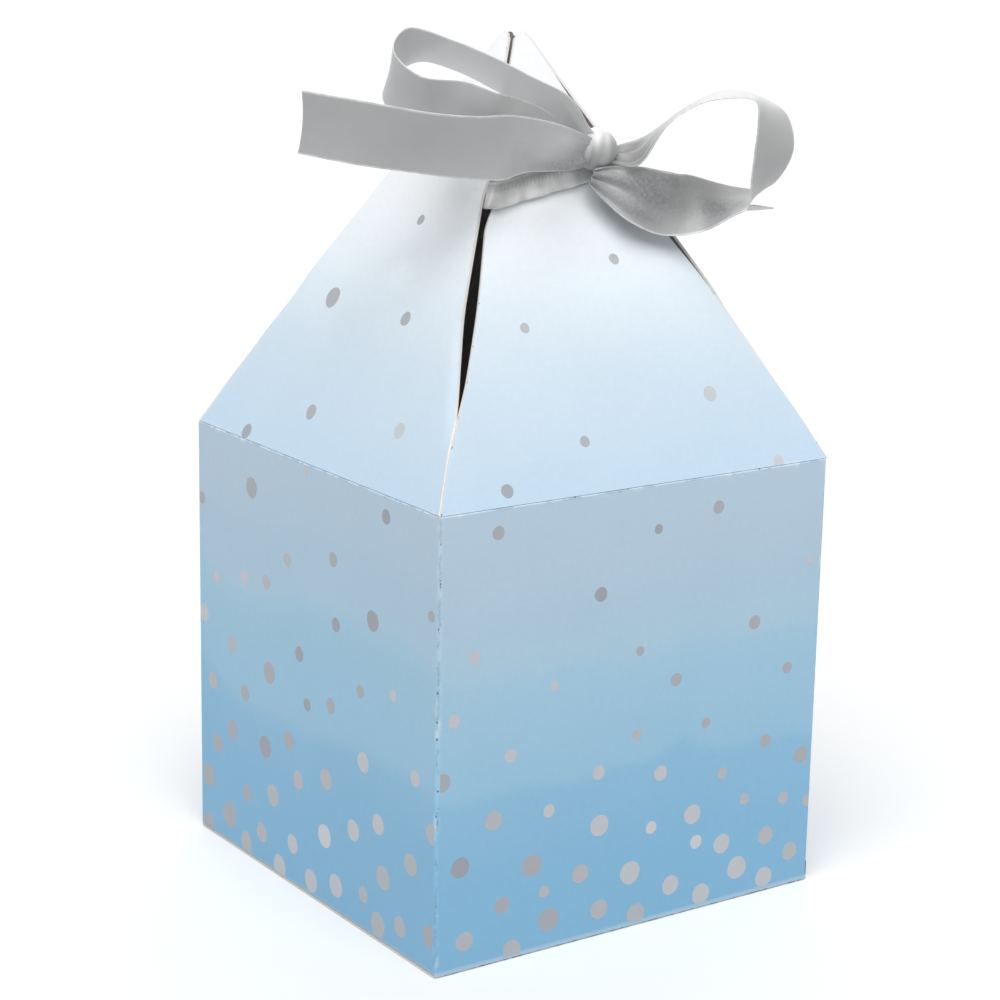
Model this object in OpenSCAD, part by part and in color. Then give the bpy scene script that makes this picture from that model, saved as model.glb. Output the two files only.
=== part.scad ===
// Gift box: a square paperboard carton whose four roof flaps lean together
// to a point, tied at the neck with a satin ribbon bow.
// +Z is up, the front is -Y, and the origin is the middle of the footprint,
// on the surface that the box stands on.

/* [Carton] */
// Width and depth of the square base, outside
base_w = 76; // [60:1:110]
// Height of the roof creases above the table
wall_h = 73.5; // [50:0.5:120]
// Height of the roof tips above the creases
roof_rise = 67.5; // [55:0.5:90]
// Thickness of the paperboard
board_t = 0.45; // [0.3:0.05:0.6]

/* [Roof flaps] */
// Distance of each tip's board from the centre line
tip_gap = 1.5; // [1.2:0.1:3]
// Width of each rounded tip
tip_w = 2; // [1.2:0.1:3]
// How far the flaps belly out between crease and neck
belly = 1; // [0:0.1:2]
// How far the ribbon pulls the front and back flaps in at the neck
pinch = 0.9; // [0:0.1:1.5]
// How far the side flaps stand out over the ribbon at the neck
stand_out = 0.6; // [0:0.1:1.2]
// Depth of the notches in which the ribbon turns the corner
notch_depth = 1.2; // [1:0.1:1.6]
// Gap between a flap's cut edge and the mitre line at the crease
edge_gap = 0.6; // [0.5:0.1:1.5]

/* [Bottom closure] */
// Height of the tongue that tucks in behind the back wall
tuck_h = 14; // [8:1:20]
// Lean of the tucked tongue away from the back wall, in degrees
tuck_lean = 12; // [8:1:16]
// Length of each dust flap
dust_len = 24; // [15:1:28]
// Width of the tab that glues the carton's side seam
glue_tab_w = 12; // [8:1:18]
// White strip of the side fold that the front wall leaves bare
seam_w = 0.7; // [0.3:0.1:1.2]

/* [Ribbon] */
// Thickness of the satin ribbon
ribbon_t = 0.3; // [0.2:0.05:0.4]
// Height of the gathered ribbon where it runs round the neck
band_h = 4; // [3:0.5:6]
// Thickness of the gathered ribbon round the neck
band_t = 1; // [0.6:0.1:1.2]
// Height of the neck above the creases
neck_h = 45.5; // [38:0.5:52]
// Rise of the band per millimetre from left to right
band_tilt = 0.15; // [0:0.01:0.2]
// Diameter of the knot
knot_d = 6; // [5:0.5:7]
// Length of the knot from its left side to its right
knot_len = 5.4; // [4:0.2:6]

/* [Clearances] */
// Gap between a fold's bead and the edge of the panel that turns on it
fold_gap = 0.035; // [0.02:0.005:0.06]
// Gap between soft or sliding pieces
slide_gap = 0.3; // [0.2:0.05:0.5]
// Gap between glued or stacked boards
stack_gap = 0.1; // [0.05:0.05:0.2]

/* [Hidden] */

sky = [0.62, 0.78, 0.87];
pale_sky = [0.80, 0.88, 0.94];
white_board = [0.93, 0.93, 0.92];
silver = [0.68, 0.68, 0.68];

half_w = base_w / 2;
inner_w = half_w - board_t;             // centre to a wall's inner face
mid_w = half_w - board_t / 2;           // centre to the middle of a wall
bead_r = board_t / 2;                   // rounded edge at a fold
fold_start = bead_r + fold_gap;         // where a folded panel begins
mitre = 0.02;                           // parting line at the upright folds
bead_fn = 24;

lean = atan((mid_w - tip_gap) / roof_rise);     // closed flap, from upright
flap_len = roof_rise / cos(lean);
neck_s = neck_h / cos(lean);            // neck, measured up the flap
belly_s = neck_s * 0.55;
profile_steps = 24;

// ---- folds and profiles ----

function ease(a) = (1 - cos(180 * min(max(a, 0), 1))) / 2;

// How far a flap's middle surface stands off its straight line, s up the flap
function bulge(s, at_neck) =
    s < belly_s ? belly * ease(s / belly_s) :
    s < neck_s ? belly + (at_neck - belly) * ease((s - belly_s) / (neck_s - belly_s)) :
    at_neck * (1 - ease((s - neck_s) / (flap_len - neck_s)));

// Distance from the centre line to a closed flap's middle surface at height z
// above the creases
function flap_off(z, at_neck) =
    mid_w - z * tan(lean) + bulge(z / cos(lean), at_neck) / cos(lean);

board_off = bead_r / cos(lean);         // half the board, measured level

// A board along X, standing in the plane of the front wall, between two heights
module wall_board(plan, low, high) {
    translate([0, 0, low]) linear_extrude(high - low) polygon(plan);
}

// Rounded fold bead along the front wall's line, from x0 to x1, at height z
module bead(x0, x1, z) {
    translate([x0, -mid_w, z]) rotate([0, 90, 0])
        cylinder(r = bead_r, h = x1 - x0, $fn = bead_fn);
}

// Plan of a wall in the front wall's place; each end is a mitre
// unless it is given as a plain cut
function wall_plan(left_out, left_in, right_in, right_out) = [
    [left_out, -half_w], [right_out, -half_w], [right_in, -inner_w], [left_in, -inner_w]
];

// ---- walls ----

dust_z = board_t + stack_gap + bead_r;  // dust flap's fold, over the bottom panel
tab_y = -inner_w + stack_gap / 2;       // outer face of the glue tab

module front_wall() color(sky) {
    wall_board(wall_plan(-half_w + mitre, -inner_w + mitre, half_w - seam_w, half_w - seam_w),
               bead_r, wall_h);
    bead(-inner_w + mitre, half_w - seam_w, wall_h);
    bead(-inner_w + mitre, half_w - seam_w, bead_r);
}

module side_wall(front_end) {
    // the board as seen in the front wall's place
    wall_board(front_end, dust_z, wall_h);
    x0 = front_end[3][0];
    x1 = front_end[2][0];
    bead(x0, x1, wall_h);
    bead(x0, x1, dust_z);
}

module left_wall() color(sky) rotate([0, 0, -90])
    side_wall(wall_plan(-half_w + mitre, -inner_w + mitre, inner_w - mitre, half_w - mitre));

module right_wall() color(sky) rotate([0, 0, 90])
    side_wall(wall_plan(tab_y + mitre, tab_y + board_t + mitre, inner_w - mitre, half_w - mitre));

module back_wall() color(sky) rotate([0, 0, 180]) {
    wall_board(wall_plan(-half_w + mitre, -inner_w + mitre, inner_w - mitre, half_w - mitre),
               0, wall_h);
    bead(-inner_w + mitre, inner_w - mitre, wall_h);
}

tab_end = 3;                            // tab stops short of the creases
tab_taper = 3;                          // slope at each end of the tab

module glue_tab() color(white_board) intersection() {
    linear_extrude(wall_h) polygon([
        [half_w - glue_tab_w, tab_y], [half_w - mitre, tab_y],
        [inner_w - mitre, tab_y + board_t], [half_w - glue_tab_w, tab_y + board_t]
    ]);
    rotate([90, 0, 0]) linear_extrude(base_w, center = true) polygon([
        [half_w, tab_end], [half_w - glue_tab_w, tab_end + tab_taper],
        [half_w - glue_tab_w, wall_h - tab_end - tab_taper], [half_w, wall_h - tab_end]
    ]);
}

// ---- roof flaps ----

flap_half = mid_w - edge_gap;           // half width at the crease
notch_len = 12;                         // length of a ribbon notch up the edge

function edge_half(s) = flap_half + (tip_w / 2 - flap_half) * s / flap_len;

// The band climbs to the right, so it nips the right edge higher than the left
nip_rise = band_tilt * edge_half(neck_s) / cos(lean);

// Half width of a flap at s, with the ribbon notch where it has one; side is
// 1 for the edge that the band meets high and -1 for the other
function cut_half(s, notch, side) =
    edge_half(s) - notch * (1 - ease(abs(s - neck_s - side * nip_rise) / (notch_len / 2)));

// The board seen edge-on: across [y, z], with -y outward
module flap_profile(at_neck) {
    steps = [for (i = [0 : profile_steps]) fold_start + (flap_len - fold_start) * i / profile_steps];
    polygon(concat(
        [for (s = steps) [-bulge(s, at_neck) - bead_r, s]],
        [for (i = [profile_steps : -1 : 0]) [-bulge(steps[i], at_neck) + bead_r, steps[i]]]
    ));
}

// The board seen flat, with a rounded tip
module flap_outline(notch, high_side) {
    steps = [for (i = [0 : profile_steps]) fold_start + (flap_len - tip_w / 2 - fold_start) * i / profile_steps];
    tip_r = tip_w / 2;
    arc = [for (a = [15 : 15 : 165]) [tip_r * cos(a), flap_len - tip_r + tip_r * sin(a)]];
    polygon(concat(
        [for (s = steps) [cut_half(s, notch, high_side), s]], arc,
        [for (i = [profile_steps : -1 : 0]) [-cut_half(steps[i], notch, -high_side), steps[i]]]
    ));
}

// A closed flap on the front wall's crease
module roof_flap(at_neck, notch, high_side = 1) {
    translate([0, -mid_w, wall_h]) rotate([-lean, 0, 0]) intersection() {
        rotate([90, 0, 90]) linear_extrude(base_w, center = true) flap_profile(at_neck);
        rotate([90, 0, 0]) linear_extrude(base_w, center = true) flap_outline(notch, high_side);
    }
}

module front_roof_flap() color(pale_sky) roof_flap(-pinch, notch_depth);
module back_roof_flap() color(pale_sky) rotate([0, 0, 180]) roof_flap(-pinch, notch_depth, -1);
module left_roof_flap() color(pale_sky) rotate([0, 0, -90]) roof_flap(stand_out, 0);
module right_roof_flap() color(pale_sky) rotate([0, 0, 90]) roof_flap(stand_out, 0);

// ---- bottom closure ----

tuck_y = inner_w - slide_gap - bead_r;  // tongue's fold, inside the back wall
panel_half = half_w - stack_gap;
tongue_half = half_w - 2.5;
tongue_corner = tuck_h * 0.45;          // its round corners
// the tongue begins where its leaning edge clears the panel's upper face
tongue_start = (fold_start + bead_r * sin(tuck_lean)) / cos(tuck_lean);

module bottom_panel() color(white_board) {
    translate([-panel_half, -mid_w + fold_start, 0])
        cube([2 * panel_half, mid_w - fold_start + tuck_y, board_t]);
    translate([-tongue_half, tuck_y, bead_r]) rotate([0, 90, 0])
        cylinder(r = bead_r, h = 2 * tongue_half, $fn = bead_fn);
}

module tuck_tongue() color(white_board)
    translate([0, tuck_y, bead_r]) rotate([tuck_lean, 0, 0]) rotate([90, 0, 0])
        linear_extrude(board_t, center = true) {
            translate([-tongue_half, tongue_start])
                square([2 * tongue_half, tuck_h - tongue_corner - tongue_start]);
            translate([-tongue_half + tongue_corner, tongue_start])
                square([2 * (tongue_half - tongue_corner), tuck_h - tongue_start]);
            for (side = [-1, 1]) translate([side * (tongue_half - tongue_corner), tuck_h - tongue_corner])
                circle(r = tongue_corner, $fn = 48);
        }

dust_half = mid_w - 1.8;                // half width at the fold

// A dust flap in the front wall's place, folded in level
module dust_flap() {
    translate([0, -mid_w, dust_z - bead_r]) linear_extrude(board_t) polygon([
        [-dust_half, fold_start], [dust_half, fold_start],
        [dust_half - dust_len, dust_len], [-dust_half + dust_len, dust_len]
    ]);
}

module left_dust_flap() color(white_board) rotate([0, 0, -90]) dust_flap();
module right_dust_flap() color(white_board) rotate([0, 0, 90]) dust_flap();

// ---- ribbon round the neck ----

band_corner_r = 0.6;
band_corner_steps = 4;

// Inside half widths of the band at height z above the creases: over the
// front and back flaps, and under the side flaps
function band_half_y(z) = flap_off(z, -pinch) + board_off + slide_gap;
function band_half_x(z) = flap_off(z, stand_out) - board_off - slide_gap - band_t;

// Plan of the band: a rounded rectangle, as unit corner signs and an angle
band_plan = [
    for (corner = [0 : 3], i = [0 : band_corner_steps])
        [corner, 90 * corner + 90 * i / band_corner_steps]
];
corner_signs = [[1, 1], [-1, 1], [-1, -1], [1, -1]];

function band_point(station, lift, depth) =
    let (sign = corner_signs[station[0]],
         r = band_corner_r + depth,
         z0 = neck_h + lift,
         x0 = sign[0] * band_half_x(z0),
         z = z0 + band_tilt * x0,
         a = band_half_x(z) - band_corner_r,
         b = band_half_y(z) - band_corner_r)
    [sign[0] * a + r * cos(station[1]), sign[1] * b + r * sin(station[1]), wall_h + z];

// Gathered section: flat inside, crowned outside; [lift, depth]
band_section = [
    [-0.5, 0], [-0.5, 0.7], [-0.2, 1], [0.25, 1], [0.5, 0.7], [0.5, 0]
];

// Closed sweep: rings of points joined side to side and end to end
module closed_sweep(rings) {
    n = len(rings);
    k = len(rings[0]);
    polyhedron(
        points = [for (ring = rings) each ring],
        faces = [for (i = [0 : n - 1], j = [0 : k - 1])
            let (a = i * k, b = ((i + 1) % n) * k, j2 = (j + 1) % k)
                each [[a + j2, b + j2, b + j], [a + j, a + j2, b + j]]]
    );
}

module ribbon_band() color(silver)
    closed_sweep([for (station = band_plan)
        [for (p = band_section) band_point(station, p[0] * band_h, p[1] * band_t)]]);

// ---- bow ----
// The bow lies against the front flap, so its points are set out in that
// flap's own frame: X to the right, -Y straight out from the board, Z up the
// flap, from the board's middle at the neck. Each strip has a list of points
// along its middle and one of half-width arrows from the middle to one edge.

knot_at = [4.7, -(bead_r + slide_gap + band_t + stack_gap + knot_d / 2), 2.5];

left_tail_path = [
    [1.5, -6.5, 1.5], [-8.5, -9.5, 1.5], [-17, -13, 0.5], [-26, -15.5, 0], [-34.5, -16, 1],
    [-43, -14.5, 3.5], [-50, -10, 7.5]
];
left_tail_half = [
    [0.5, -0.5, 1], [1.5, -3.5, 2.5], [0.5, -3, 4], [0.5, -3.5, 3.5], [0.5, -4, 3],
    [0, -3.5, 3.5], [-0.5, -3.5, 3.5]
];
left_loop_path = [
    [1.5, -5, 5], [-3.5, -7.5, 9.5], [-9.5, -8, 13], [-15.5, -8.5, 16], [-22, -8.5, 18.5],
    [-28.5, -8.5, 18.5], [-32.5, -9.5, 14.5], [-31.5, -12.5, 9], [-26.5, -14.5, 6],
    [-20, -13, 4.5], [-13.5, -10, 4.5], [-6.5, -7, 4.5], [1.5, -5.5, 3.5]
];
left_loop_half = [
    [0.5, -2.5, 0.5], [0.5, -4, -0.5], [0, -5, -1], [0, -5, -1], [0, -5, -0.5],
    [-0.5, -4.5, 2], [-1, -4.5, 2], [-0.5, -4.5, 2], [1, -3.5, 3.5], [1.5, -2.5, 4],
    [1, -2, 4.5], [1, -2, 3.5], [0.5, -0.5, 1]
];
right_loop_path = [
    [8, -5, 2.5], [11.5, -7.5, 0.5], [14.5, -11, 3], [18.5, -14, 5], [22.5, -17.5, 5.5],
    [27, -20, 4], [29, -20.5, 0], [29.5, -18.5, -4.5], [28.5, -14.5, -8], [25.5, -10, -9],
    [21, -6.5, -8.5], [15.5, -6, -8], [10, -6, -6], [6, -5, -3.5], [3.5, -4.5, -2]
];
right_loop_half = [
    [0.5, 0.5, 1], [1.5, 2, 2.5], [2.5, 4, 1.5], [2.5, 4, 1.5], [3, 3.5, 2], [3, 3.5, 2],
    [4.5, 1.5, 1.5], [5, 1, 0.5], [4.5, 2, 0.5], [2.5, 2.5, 3.5], [1, 0.5, 5], [1, -2, 4.5],
    [1.5, -1.5, 4], [1, -1, 2.5], [0.5, -0.5, 1]
];
right_tail_path = [
    [8, -3, 0.5], [13.5, -3, -3.5], [20.5, -3.5, -6], [27, -4.5, -8], [33.5, -5.5, -9.5],
    [40, -6.5, -10]
];
right_tail_half = [
    [0.5, 0, 1.5], [1.5, 0.5, 3], [1.5, 1.5, 4.5], [1, 4, 3], [0.5, 4.5, 2], [0.5, 4.5, 2]
];

strip_steps = 4;                        // sections between two points

function unit(v) = v / norm(v);

// Smooth curve through the points, by Catmull and Rom's rule
function between(p, i, t) =
    let (last = len(p) - 1, a = p[max(i - 1, 0)], b = p[i], c = p[i + 1], d = p[min(i + 2, last)])
    (2 * b + (c - a) * t + (2 * a - 5 * b + 4 * c - d) * t * t + (3 * b - 3 * c + d - a) * t * t * t) / 2;
function smooth(p) =
    [for (i = [0 : len(p) - 2], j = [0 : strip_steps - 1]) between(p, i, j / strip_steps), p[len(p) - 1]];

function along(q, i) = q[min(i + 1, len(q) - 1)] - q[max(i - 1, 0)];

// A flat strip of ribbon swept along its middle line
module strip(path, half) {
    q = smooth(path);
    h = smooth(half);
    n = len(q);
    rings = [for (i = [0 : n - 1])
        let (t = unit(cross(along(q, i), h[i])) * ribbon_t / 2)
            [q[i] - h[i] - t, q[i] + h[i] - t, q[i] + h[i] + t, q[i] - h[i] + t]];
    last = 4 * (n - 1);
    polyhedron(
        points = [for (ring = rings) each ring],
        faces = concat(
            [[0, 1, 2], [0, 2, 3], [last + 2, last + 1, last], [last + 3, last + 2, last]],
            // both broad faces are split along the same diagonal
            [for (i = [0 : n - 2])
                let (a = i * 4, b = a + 4)
                    each [[b, b + 1, a + 1], [b, a + 1, a], [b + 1, b + 2, a + 2], [b + 1, a + 2, a + 1],
                          [b + 2, b + 3, a + 2], [b + 3, a + 3, a + 2], [b + 3, b, a], [b + 3, a, a + 3]]]
        )
    );
}

// Puts the bow's frame on the front flap at the neck
module on_neck() {
    translate([0, -flap_off(neck_h, -pinch), wall_h + neck_h]) rotate([-lean, 0, 0]) children();
}

module left_tail() color(silver) on_neck() strip(left_tail_path, left_tail_half);
module right_tail() color(silver) on_neck() strip(right_tail_path, right_tail_half);
module left_loop() color(silver) on_neck() strip(left_loop_path, left_loop_half);
module right_loop() color(silver) on_neck() strip(right_loop_path, right_loop_half);

// The knot: one turn of ribbon drawn tight, with two folds round its waist
module bow_knot() color(silver) on_neck() translate(knot_at) rotate([0, 90, 0])
    rotate_extrude($fn = 48) polygon([
        [0, -knot_len / 2], [knot_d * 0.36, -knot_len / 2], [knot_d * 0.47, -knot_len * 0.34],
        [knot_d * 0.5, -knot_len * 0.2], [knot_d * 0.44, -knot_len * 0.06],
        [knot_d * 0.49, knot_len * 0.1], [knot_d * 0.5, knot_len * 0.24],
        [knot_d * 0.46, knot_len * 0.38], [knot_d * 0.36, knot_len / 2], [0, knot_len / 2]
    ]);

front_wall();
left_wall();
back_wall();
right_wall();
glue_tab();
front_roof_flap();
left_roof_flap();
back_roof_flap();
right_roof_flap();
bottom_panel();
tuck_tongue();
left_dust_flap();
right_dust_flap();
ribbon_band();
bow_knot();
left_loop();
right_loop();
left_tail();
right_tail();
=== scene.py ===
# %% [markdown]
# # A folding gift box tied with a satin ribbon
#
# The box is one creased blank of printed paperboard. Its walls stand up from a square
# base, and its pointed roof flaps lean together. A satin ribbon goes round their neck
# and ends in a bow. This lesson dresses the exact solids of the box: each board gets
# soft creases and a printed face, and each stretch of ribbon becomes a thin curved
# sheet. Every length below is in millimetres until it goes into a mesh.

# %% Load the frame and keep its box
import bpy
import math
import numpy as np
from mathutils import Matrix, Vector


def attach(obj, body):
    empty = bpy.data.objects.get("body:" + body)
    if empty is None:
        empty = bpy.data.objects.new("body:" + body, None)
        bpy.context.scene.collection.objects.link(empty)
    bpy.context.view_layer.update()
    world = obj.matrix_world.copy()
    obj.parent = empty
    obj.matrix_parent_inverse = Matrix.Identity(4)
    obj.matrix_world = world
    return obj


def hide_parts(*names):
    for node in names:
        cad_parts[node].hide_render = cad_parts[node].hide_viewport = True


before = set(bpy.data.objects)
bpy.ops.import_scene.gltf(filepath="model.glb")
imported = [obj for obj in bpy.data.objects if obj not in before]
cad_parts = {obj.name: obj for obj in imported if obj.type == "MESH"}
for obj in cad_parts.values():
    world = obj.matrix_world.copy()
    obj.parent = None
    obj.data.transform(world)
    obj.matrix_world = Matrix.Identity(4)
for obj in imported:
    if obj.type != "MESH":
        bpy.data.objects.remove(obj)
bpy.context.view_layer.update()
MM = 0.001

# %% [markdown]
# ## Sizes
#
# These are the same named values that the solids are made from. A flap is a straight
# line from its crease to its tip, so its lean follows from the carton's half width and
# the height of the roof. The bellying of the flaps is added to that straight line.

# %% Named sizes of the box
BASE_W, WALL_H, ROOF_RISE, BOARD_T = 76.0, 73.5, 67.5, 0.45
TIP_GAP, TIP_W, BELLY, PINCH, STAND_OUT = 1.5, 2.0, 1.0, 0.9, 0.6
NOTCH_DEPTH, NOTCH_LEN, EDGE_GAP, SEAM_W = 1.2, 12.0, 0.6, 0.7
NECK_H, BAND_T, BAND_TILT = 45.5, 1.0, 0.15
SLIDE_GAP, RIBBON_W = 0.3, 10.0

HALF_W = BASE_W / 2
MID_W = HALF_W - BOARD_T / 2
HALF_T = BOARD_T / 2
LEAN = math.atan((MID_W - TIP_GAP) / ROOF_RISE)
FLAP_LEN = ROOF_RISE / math.cos(LEAN)
NECK_S = NECK_H / math.cos(LEAN)
CORNER_R = 0.6      # rounding of the folds between the walls
print("flap leans", round(math.degrees(LEAN), 2), "degrees and is", round(FLAP_LEN, 2), "mm long")

# %% [markdown]
# ## The camera
#
# The box is seen from its front left corner, from a little above. The camera stands at
# a measured point and looks along a measured direction. A camera can be aimed with a
# constraint, but a matrix of its right, up and backward directions is exact and
# includes the slight roll.

# %% Camera
camera_data = bpy.data.cameras.new("camera")
camera = bpy.data.objects.new("camera", camera_data)
bpy.context.scene.collection.objects.link(camera)
camera_data.sensor_fit, camera_data.sensor_width, camera_data.lens = "AUTO", 36.0, 92.80
sight = np.array([0.55136, 0.79705, -0.24640])
right = np.array([0.82496, -0.56488, 0.01872])
right -= sight * (right @ sight) / (sight @ sight)
right, sight = right / np.linalg.norm(right), sight / np.linalg.norm(sight)
up = np.cross(right, sight)
pose = np.eye(4)
pose[:3, :3] = np.stack([right, up, -sight], axis=1)
pose[:3, 3] = np.array([-239.966, -345.343, 170.095]) * MM
camera.matrix_world = Matrix(pose.tolist())
bpy.context.scene.camera = camera
print("camera is", round(float(np.linalg.norm(pose[:3, 3])) / MM), "mm from the origin")

# %% [markdown]
# ## Light, background and floor
#
# The light is that of a plain studio tent: an even glow from all round, and one large
# soft source from above the front left corner. A sun lamp with a wide angle does this
# evenly over the whole floor. A second, weak one opens up the shade at the back. The
# background looks white to the camera and to glossy surfaces, but lights the box only
# as strongly as the even glow.

# %% Links and sockets
def link(tree, out_node, out_name, in_node, in_name):
    """Join an output socket to an input socket, by names or numbers."""
    tree.links.new(out_node.outputs[out_name], in_node.inputs[in_name])

def set_sockets(node, **values):
    """Values that are the same all over, set on the node's own sockets by their names."""
    for name, value in values.items():
        node.inputs[name.replace("_", " ")].default_value = value

def seen_rays(tree):
    """1 for rays from the camera or through gloss or glass, otherwise 0."""
    rays = tree.nodes.new("ShaderNodeLightPath")
    seen = rays.outputs["Is Camera Ray"]
    for kind in ("Is Glossy Ray", "Is Transmission Ray"):
        larger = tree.nodes.new("ShaderNodeMath")
        larger.operation = "MAXIMUM"
        tree.links.new(seen, larger.inputs[0])
        tree.links.new(rays.outputs[kind], larger.inputs[1])
        seen = larger.outputs[0]
    return seen

# %% World
scene = bpy.context.scene
scene.view_settings.view_transform = "Standard"
world = bpy.data.worlds.new("studio")
scene.world = world
world.use_nodes = True
tree = world.node_tree
tree.nodes.clear()
glow = tree.nodes.new("ShaderNodeBackground")
set_sockets(glow, Color=(0.97, 0.985, 1.0, 1), Strength=0.36)
white = tree.nodes.new("ShaderNodeBackground")
set_sockets(white, Color=(1, 1, 1, 1), Strength=1.0)
pick = tree.nodes.new("ShaderNodeMixShader")
world_out = tree.nodes.new("ShaderNodeOutputWorld")
tree.links.new(seen_rays(tree), pick.inputs[0])
link(tree, glow, 0, pick, 1)
link(tree, white, 0, pick, 2)
link(tree, pick, 0, world_out, 0)
print("world glows at", round(glow.inputs["Strength"].default_value, 2))

# %% Sun lamps
def soft_sun(name, energy, spread, direction):
    """A sun lamp whose light comes from the given direction, as wide as spread degrees."""
    data = bpy.data.lights.new(name, "SUN")
    data.energy, data.angle = energy, math.radians(spread)
    lamp = bpy.data.objects.new(name, data)
    scene.collection.objects.link(lamp)
    lamp.rotation_mode = "QUATERNION"
    lamp.rotation_quaternion = (-Vector(direction)).to_track_quat("-Z", "Y")
    return math.degrees(math.asin(Vector(direction).normalized().z))

key_height = soft_sun("soft_key", 2.60, 56, (-0.34, -0.42, 0.90))
fill_height = soft_sun("back_fill", 0.7, 60, (0.45, 0.62, 0.55))
print("key stands", round(key_height), "degrees high, fill", round(fill_height))

# %% [markdown]
# ## Mesh helpers
#
# A board or a ribbon is a surface of two parameters with a thickness. One helper takes
# a grid of points and a grid of directions, moves the grid out and in by half the
# thickness, and joins the two copies along their edges. The result is a closed shell.
# If its signed volume is negative it is inside out, and all its faces are turned over.

# %% Closed sheets from grids
def grid_faces(rows, columns):
    """Quads between neighbouring points of a grid that is stored row by row."""
    index = np.arange(rows * columns).reshape(rows, columns)
    return np.stack([index[:-1, :-1], index[1:, :-1], index[1:, 1:], index[:-1, 1:]], -1).reshape(-1, 4)

def signed_volume(points, faces):
    """Sum of the volumes of the wedges from the origin to each half of each quad."""
    a, b, c, d = (points[faces[:, k]] for k in range(4))
    wedge = lambda p, q, r: np.einsum("ij,ij->i", p, np.cross(q, r)).sum() / 6
    return wedge(a, b, c) + wedge(a, c, d)

def closed_sheet(mid, normal, half, wrap=False):
    """Grid plus and minus its normal times half its thickness, joined along its rim.
    wrap joins the last row to the first. Returns points, faces, and how many faces the
    outer side, the inner side and the rim have, which is also their order."""
    rows, columns = mid.shape[:2]
    half = np.broadcast_to(np.asarray(half, float), (rows, columns))[..., None]
    sides = [(mid + normal * half).reshape(-1, 3), (mid - normal * half).reshape(-1, 3)]
    points = np.concatenate(sides)
    outer = grid_faces(rows, columns)
    index = np.arange(rows * columns).reshape(rows, columns)
    if wrap:
        ends = np.stack([index[-1, :-1], index[0, :-1], index[0, 1:], index[-1, 1:]], -1)
        outer = np.concatenate([outer, ends])
        rims = [np.append(index[:, 0], index[0, 0])[::-1], np.append(index[:, -1], index[0, -1])]
    else:
        rims = [np.concatenate([index[:, -1], index[-1, -2::-1], index[-2::-1, 0], index[0, 1:]])]
    under = rows * columns
    inner = outer[:, ::-1] + under
    rim = np.concatenate([np.stack([r[:-1], r[:-1] + under, r[1:] + under, r[1:]], -1) for r in rims])
    faces = np.concatenate([outer, inner, rim])
    if signed_volume(points, faces) < 0:
        faces = faces[:, ::-1]
    return points, faces, (len(outer), len(inner), len(rim))

# %% Pieces from closed sheets
def make_object(name, mesh):
    """An object at the origin that shows the mesh."""
    mesh.update()
    piece = bpy.data.objects.new(name, mesh)
    scene.collection.objects.link(piece)
    return piece

def make_piece(name, points, faces, materials, face_material, flat_xy, values, sharp=35):
    """A closed sheet as an object, in metres, with its finishes. Its flat layout and its
    point values are grids over one side, and the other side repeats them."""
    mesh = bpy.data.meshes.new(name)
    mesh.from_pydata((points * MM).tolist(), [], faces.tolist())
    for material in materials:
        mesh.materials.append(material)
    mesh.polygons.foreach_set("material_index", face_material.astype(np.int32))
    corner = np.empty(len(mesh.loops), dtype=np.int32)
    mesh.loops.foreach_get("vertex_index", corner)
    two_sides = np.tile(flat_xy.reshape(-1, 2), (2, 1))
    mesh.uv_layers.new(name="flat").data.foreach_set("uv", (two_sides[corner] * MM).ravel())
    for key, value in values.items():
        row = np.tile(np.broadcast_to(value, flat_xy.shape[:2]).ravel(), 2)
        mesh.attributes.new(key, "FLOAT", "POINT").data.foreach_set("value", row)
    mesh.polygons.foreach_set("use_smooth", np.ones(len(mesh.polygons), dtype=bool))
    mesh.set_sharp_from_angle(angle=math.radians(sharp))
    return make_object(name, mesh)

def stand_in(piece, body, node):
    """The piece rides on a body and hides the solid that it stands for."""
    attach(piece, body)
    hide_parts(node)
    print(piece.name, len(piece.data.vertices), "points")

# %% [markdown]
# ## Finishes: the printed board
#
# The blank is printed flat, before it is folded, so its pattern follows the flat
# layout: across the blank and up it. The colour is a watercolour wash that fades from
# sky blue at the bottom to white at the tips. The wash has soft wavy tide lines, made
# by bending the height with noise before it goes into a colour ramp with a few close
# steps. Folding cracks the ink along creases and cut edges. Each mesh point knows its
# distance to the nearest fold and to the nearest cut, and noise turns those distances
# into broken hairlines, pale scuffs and dark flecks.

# %% Colours and new materials
def srgb(red, green, blue):
    """Screen colour from 0 to 255 as linear light, with full opacity."""
    c = np.array([red, green, blue]) / 255
    linear = np.where(c <= 0.04045, c / 12.92, ((c + 0.055) / 1.055) ** 2.4)
    return (*[float(x) for x in linear], 1.0)

def new_material(name):
    """An empty node tree with a Principled shader, and that shader."""
    material = bpy.data.materials.new(name)
    material.use_nodes = True
    shader = material.node_tree.nodes["Principled BSDF"]
    return material, material.node_tree, shader

# %% Nodes for numbers
def math_node(tree, operation, first, second=None, third=None):
    """A Math node; each value is a number or an output socket."""
    node = tree.nodes.new("ShaderNodeMath")
    node.operation = operation
    for slot_number, value in enumerate((first, second, third)):
        if value is None:
            continue
        if isinstance(value, (int, float)):
            node.inputs[slot_number].default_value = value
        else:
            tree.links.new(value, node.inputs[slot_number])
    return node.outputs[0]

def noise_node(tree, vector, scale, detail=3.0, roughness=0.5):
    """Noise from -0.5 to 0.5 or so, at a scale per metre."""
    node = tree.nodes.new("ShaderNodeTexNoise")
    set_sockets(node, Scale=scale, Detail=detail, Roughness=roughness)
    tree.links.new(vector, node.inputs["Vector"])
    return math_node(tree, "SUBTRACT", node.outputs[0], 0.5)

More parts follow.
